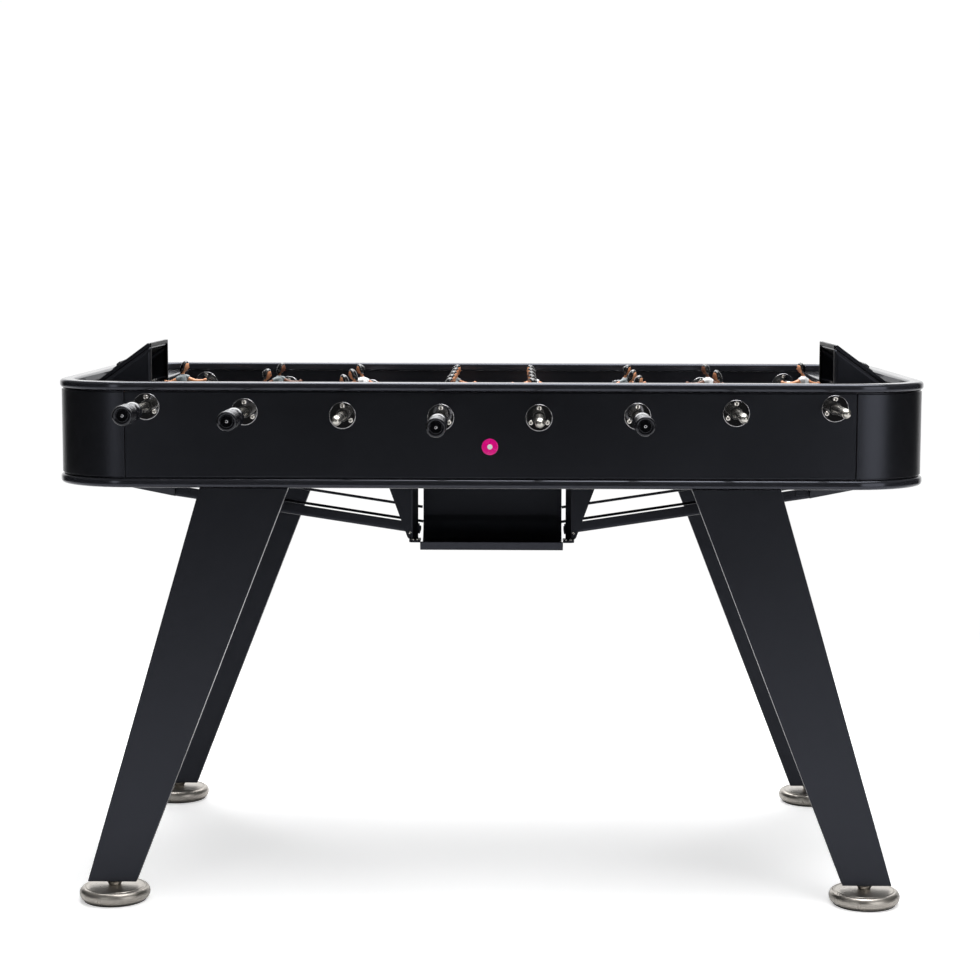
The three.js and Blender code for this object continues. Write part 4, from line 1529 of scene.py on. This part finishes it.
class FOOSBALL_OT_players(bpy.types.Operator):
    """Model the two teams and clamp them on their rods"""

    bl_idname = "foosball.players"
    bl_label = "Players"

    TONES = ("fair", "brown", "tan", "fair", "tan")
    LEAN = 0.25
    LEAN_FROM = 9 * MM
    HEAD_FROM = 36.5 * MM
    HEAD_DEPTH = 0.82

    def execute(self, context):
        meshes = {}
        for number, rod in enumerate(RODS, 1):
            team = "grey" if number in (1, 2, 4, 6) else "white"
            turned = Matrix.Rotation(0 if team == "grey" else math.pi, 4, "Z")
            for k in range(1, PLAYERS_ON_ROD[number - 1] + 1):
                low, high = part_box(f"player_{number}_{k}")
                tone = self.TONES[(number + 2 * k) % len(self.TONES)]
                style = "bun" if (number + k) % 3 == 0 else "tail"
                key = (team, tone, style)
                if key not in meshes:
                    meshes[key] = self.figure(team, tone, style)
                place = Matrix.Translation((rod.x, (low.y + high.y) / 2, rod.z)) @ turned
                figure, node = meshes[key], f"player_{number}_{k}"
                put(
                    f"figure_{number}_{k}", figure, f"players_{number}", f"{team}_team", node,
                    place=place,
                )
        return {"FINISHED"}

    def figure(self, team, tone, style):
        """One player, facing +X, with the rod through the waist."""
        bm = bmesh.new()
        self.trunk(bm)
        self.arms(bm)
        self.head(bm, style)
        for vert in bm.verts:
            vert.co.x += self.LEAN * max(0.0, vert.co.z - self.LEAN_FROM)
        self.legs(bm)
        self.clamp(bm)
        looks = [FINISHES[tone], FINISHES[team], *(FINISHES[k] for k in ("hair", "boots", "eye", "lips"))]
        return finished_mesh(f"figure_{team}_{tone}_{style}", bm, looks, crease=60)

    @staticmethod
    def trunk(bm):
        shirt = [
            (-17, 0, 8.6, 0, 11.6), (-16, 0, 10.6, 0, 12.6), (-10, 0, 11.0, 0, 12.4),
            (-2, 0, 10.8, 0, 11.4), (6, 0.2, 10.8, 0, 11.2), (13, 0.8, 10.6, 0, 11.8),
            (19, 1.2, 10.2, 0, 12.4), (25, 0.8, 8.8, 0, 12.8), (30, 0, 7.0, 0, 12.2),
            (33.5, -0.4, 5.4, 0, 9.6), (35.6, -0.6, 4.4, 0, 5.6), (35.9, -0.6, 3.2, 0, 3.6),
        ]
        rings(bm, shirt, 28, SHIRT)
        neck = [
            (32, -0.8, 4.0, 0, 4.2), (36, -0.6, 3.3, 0, 3.4), (41, 0, 3.0, 0, 3.1),
            (45, 0.4, 3.4, 0, 3.4),
        ]
        rings(bm, neck, 18, SKIN)

    @staticmethod
    def legs(bm):
        shorts = [
            (-31, 0, 8.0, 0, 11.6), (-30.6, 0, 9.4, 0, 12.4), (-25, 0, 9.8, 0, 12.4),
            (-18, 0, 10.0, 0, 12.2), (-13, 0, 9.6, 0, 11.6),
        ]
        rings(bm, shorts, 28, SHIRT)
        for side in (-1, 1):
            y = 5.2 * side
            leg = [
                (-27, 0.5, 6.2, y, 5.6), (-38, 0.9, 5.6, y, 5.0), (-45, 0.8, 4.7, y, 4.3),
                (-52, -0.4, 4.9, y, 4.4), (-58, -0.4, 4.0, y, 3.8), (-64, 0, 3.5, y, 3.5),
            ]
            rings(bm, leg, 18, SKIN)
            sock = [(-52, -0.4, 5.3, y, 4.8), (-58, -0.4, 4.5, y, 4.3), (-65, 0, 4.2, y, 4.2)]
            rings(bm, sock, 18, SHIRT)
            boot = [
                (-74.2, 1, 6.4, y, 3.9), (-73.6, 1, 7.2, y, 4.6), (-69, 1, 7.0, y, 4.7),
                (-65.5, 0.2, 5.2, y, 4.6), (-62.5, 0, 4.6, y, 4.4),
            ]
            rings(bm, boot, 20, BOOTS)
        block = rounded([(-5.5, -7, 2), (7, -7, 2), (7, 7, 2), (-5.5, 7, 2)], steps=3)
        slab(bm, block, "z", -74.3 * MM, -66 * MM)
        for face in bm.faces:
            if len(face.verts) != 4 and all(-74.5 * MM < v.co.z < -65.9 * MM for v in face.verts):
                face.material_index = BOOTS

    @staticmethod
    def arms(bm):
        reach = [
            (0.5, 9.5, 30.5), (4, 12, 29.6), (13, 13.2, 26), (22, 13.4, 23.2), (31, 13.2, 22.6),
            (39, 13, 23.6),
        ]
        limb(bm, reach, [3.2, 3.9, 3.4, 3.0, 2.7, 2.1], 16, SKIN)
        sleeve = [(0, 9, 30.6), (4, 12, 30.2), (9.5, 13, 28.4)]
        limb(bm, sleeve, [3.6, 4.6, 4.4], 16, SHIRT)
        ball(bm, (41.6, 13, 24.4), (3.7, 2.9, 3.3), SKIN, u=14, v=10)
        trail = [
            (-0.5, -9.5, 30.5), (-4, -12, 29.4), (-11, -13.2, 25), (-18, -13.4, 21.5), (-25, -13.1, 21.6),
        ]
        limb(bm, trail, [3.2, 3.9, 3.4, 3.0, 2.3], 16, SKIN)
        cuff = [(0, -9, 30.6), (-4, -12, 29.6), (-8.6, -13, 26.8)]
        limb(bm, cuff, [3.6, 4.6, 4.4], 16, SHIRT)
        ball(bm, (-27.6, -13, 22), (3.5, 2.8, 3.1), SKIN, u=14, v=10)

    def head(self, bm, style):
        middle = (0.8, 0, 49.4)
        ball(bm, middle, (8.0, 7.1, 9.6), SKIN, face_shape, 28, 22)
        for side in (-1, 1):
            ball(bm, (8.0, 2.5 * side, 50.6), (0.7, 1.15, 0.6), EYE, u=12, v=8)
            ball(bm, (8.1, 2.5 * side, 52.5), (0.6, 1.5, 0.32), EYE, u=12, v=6)
        ball(bm, (8.6, 0, 45.4), (0.7, 1.6, 0.6), LIPS, u=12, v=8)
        ball(bm, (-1.0, 0, 50.8), (8.8, 8.3, 9.9), HAIR, hair_shape, 40, 26)
        if style == "bun":
            ball(bm, (-7.4, 0, 53.5), (3.6, 4.2, 4.2), HAIR, u=18, v=12)
        else:
            tail = [(-4.5, 0, 51), (-6.4, 0, 47.5), (-6.2, 0, 43.5), (-5.4, 0, 40), (-5, 0, 37.5)]
            limb(bm, tail, [3.4, 4.0, 4.0, 3.0, 1.4], 16, HAIR)
        for vert in bm.verts:
            if vert.co.z > self.HEAD_FROM:
                vert.co.x *= self.HEAD_DEPTH

    @staticmethod
    def clamp(bm):
        """The screw that clamps the figure to the rod, in the back."""
        turned = Matrix.Rotation(-math.pi / 2, 4, "Y")
        screw(bm, Vector((-10.9 * MM, 0, 0)), turned, head=6, material=EYE)


# ---------------------------------------------------------------- badge
class FOOSBALL_OT_badge(bpy.types.Operator):
    """Fix a plain round badge on the front wall"""

    bl_idname = "foosball.badge"
    bl_label = "Badge"

    def execute(self, context):
        radius = context.scene.foosball_cabinet.badge / MM / 2
        dot = 0.32 * radius
        height = 791.6 * MM
        place = Matrix.Translation((0, -OUTER_FACE, height)) @ facing(-1)
        disc = [
            (0, 1.5), (radius - 1.6, 1.4), (radius - 0.4, 0.9), (radius, 0.2), (radius, -0.3), (0, -0.3),
        ]
        centre = [(0, 2.0), (dot - 0.5, 1.9), (dot, 1.4), (dot, 0.4), (0, 0.4)]
        for name, profile, look, sides, slot in (
            ("badge_disc", disc, "badge", 48, "badge_pink"),
            ("badge_dot", centre, "badge_dot", 32, "white_team"),
        ):
            put(name, turned_mesh(name, profile, look, sides, 32), "cabinet", slot, place=place)
        return {"FINISHED"}


# ---------------------------------------------------------------- stage
def studio_floor_material():
    """A pale floor that fades into the white surround away from the table."""
    material = bpy.data.materials.new("studio_floor")
    material.use_nodes = True
    tree = material.node_tree
    tree.nodes.remove(tree.nodes["Principled BSDF"])
    paper = first(tree, "BsdfDiffuse", {"Color": (0.93, 0.93, 0.935, 1)})
    seen = add(tree, "LightPath").outputs["Is Camera Ray"]
    lift = first(tree, "Math", {0: seen, 1: 0.44}, operation="MULTIPLY")
    glow = first(tree, "Emission", {"Color": (1, 1, 1, 1), "Strength": lift})
    lit = first(tree, "AddShader", {0: paper, 1: glow})
    white = first(tree, "Emission", {"Color": (1, 1, 1, 1), "Strength": 1.02})
    place = add(tree, "TexCoord").outputs["Object"]
    radius = add(tree, "VectorMath", {0: place}, operation="LENGTH").outputs["Value"]
    fade = first(
        tree, "MapRange", {"Value": radius, "From Min": 1.3, "From Max": 2.9},
        interpolation_type="SMOOTHSTEP",
    )
    amount = first(tree, "Math", {0: fade, 1: seen}, operation="MULTIPLY")
    mixed = first(tree, "MixShader", {0: amount, 1: lit, 2: white})
    tree.links.new(mixed, tree.nodes["Material Output"].inputs["Surface"])
    return material


def surround():
    """White to the eye; for reflections bright behind the table, dim at the sides and dark in front."""
    world = bpy.data.worlds.new("studio_surround")
    bpy.context.scene.world = world
    world.use_nodes = True
    tree = world.node_tree
    direction = add(tree, "TexCoord").outputs["Generated"]
    parts = add(tree, "SeparateXYZ", {0: direction}).outputs

    def ramp(value, low, high, at_low, at_high):
        return first(
            tree, "MapRange",
            {"Value": value, "From Min": low, "From Max": high, "To Min": at_low, "To Max": at_high},
            interpolation_type="SMOOTHSTEP",
        )

    behind = ramp(parts["Y"], 0.66, 0.93, 0.0, 1.2)
    above = ramp(parts["Z"], 0.22, 0.6, 0.014, 0.2)
    lightness = first(tree, "Math", {0: behind, 1: above}, operation="MAXIMUM")
    seen = add(tree, "LightPath").outputs["Is Camera Ray"]
    strength = first(tree, "Mix", {0: seen, 2: lightness, 3: 1.02}, data_type="FLOAT")
    tree.links.new(strength, tree.nodes["Background"].inputs["Strength"])
    tree.nodes["Background"].inputs["Color"].default_value = (1, 1, 1, 1)


def softbox(name, place, target, size, power):
    light = bpy.data.lights.new(name, "AREA")
    light.shape = "RECTANGLE"
    light.size, light.size_y = size
    light.energy = power
    lamp = new_object(name, light)
    lamp.location = place
    lamp.rotation_euler = (Vector(target) - Vector(place)).to_track_quat("-Z", "Y").to_euler()


class FOOSBALL_OT_stage(bpy.types.Operator):
    """Set up the pale floor, the soft lights and the camera"""

    bl_idname = "foosball.stage"
    bl_label = "Stage"

    def execute(self, context):
        settings = context.scene.foosball_stage
        bm = bmesh.new()
        floor_radius = 4000
        lathe(bm, [(0, 0), (floor_radius, 0)], 96)
        mesh = bpy.data.meshes.new("studio_floor")
        bmesh.ops.recalc_face_normals(bm, faces=bm.faces)
        bm.to_mesh(mesh)
        bm.free()
        mesh.materials.append(studio_floor_material())
        new_object("studio_floor", mesh)
        surround()
        softbox("overhead_softbox", (0.1, 0.1, 3.0), (0, 0, 0.5), (3.2, 2.0), settings.key)
        softbox("rear_softbox", (0, 2.9, 2.9), (0, 0, 0.9), (4.0, 1.2), settings.back)
        softbox("right_softbox", (2.35, -2.8, 1.1), (0.5, -0.3, 0.8), (2.0, 1.8), settings.side * 2)
        softbox("left_softbox", (-1.9, -3.0, 1.15), (-0.6, -0.3, 0.8), (0.6, 1.5), settings.side * 0.5)
        self.camera(context, settings)
        context.scene.view_settings.view_transform = "Standard"
        return {"FINISHED"}

    @staticmethod
    def camera(context, settings):
        yaw, pitch, roll = settings.turn, settings.tilt, settings.roll
        level = math.cos(pitch)
        forward = Vector((math.sin(yaw) * level, math.cos(yaw) * level, -math.sin(pitch)))
        right = Vector((math.cos(yaw), -math.sin(yaw), 0))
        up = right.cross(forward)
        rolled_right = right * math.cos(roll) + up * math.sin(roll)
        rolled_up = up * math.cos(roll) - right * math.sin(roll)
        data = bpy.data.cameras.new("studio_camera")
        data.lens = settings.lens
        data.sensor_width = 36
        camera = new_object("studio_camera", data)
        axes = Matrix((rolled_right, rolled_up, -forward)).transposed().to_4x4()
        camera.matrix_world = Matrix.Translation(settings.eye) @ axes
        context.scene.camera = camera


# ---------------------------------------------------------------- panel and registration
STEPS = (
    FOOSBALL_OT_finishes, FOOSBALL_OT_rims, FOOSBALL_OT_walls, FOOSBALL_OT_field, FOOSBALL_OT_goals,
    FOOSBALL_OT_tray, FOOSBALL_OT_chutes, FOOSBALL_OT_legs, FOOSBALL_OT_bearings, FOOSBALL_OT_rods,
    FOOSBALL_OT_players, FOOSBALL_OT_badge, FOOSBALL_OT_stage,
)


class FOOSBALL_PT_panel(bpy.types.Panel):
    """Sizes, colours and building steps of the foosball table"""

    bl_idname = "FOOSBALL_PT_panel"
    bl_label = "Foosball table"
    bl_space_type = "VIEW_3D"
    bl_region_type = "UI"
    bl_category = "Foosball"

    def draw(self, context):
        layout = self.layout
        for step in STEPS:
            layout.operator(step.bl_idname)
        for group in SETTINGS:
            box = layout.box()
            settings = getattr(context.scene, group)
            for prop in settings.bl_rna.properties:
                if prop.identifier not in ("rna_type", "name"):
                    box.prop(settings, prop.identifier)


SETTINGS = {
    "foosball_cabinet": CabinetSizes, "foosball_rods": RodSizes, "foosball_colours": FinishColours,
    "foosball_stage": StageSettings,
}
CLASSES = (*SETTINGS.values(), *STEPS, FOOSBALL_PT_panel)


def register():
    for cls in CLASSES:
        bpy.utils.register_class(cls)
    for name, group in SETTINGS.items():
        setattr(bpy.types.Scene, name, PointerProperty(type=group))


def unregister():
    for name in SETTINGS:
        delattr(bpy.types.Scene, name)
    for cls in reversed(CLASSES):
        bpy.utils.unregister_class(cls)


def main():
    register()
    for step in STEPS:
        call = step.bl_idname.split(".")[1]
        getattr(bpy.ops.foosball, call)()


if __name__ == "__main__":
    main()
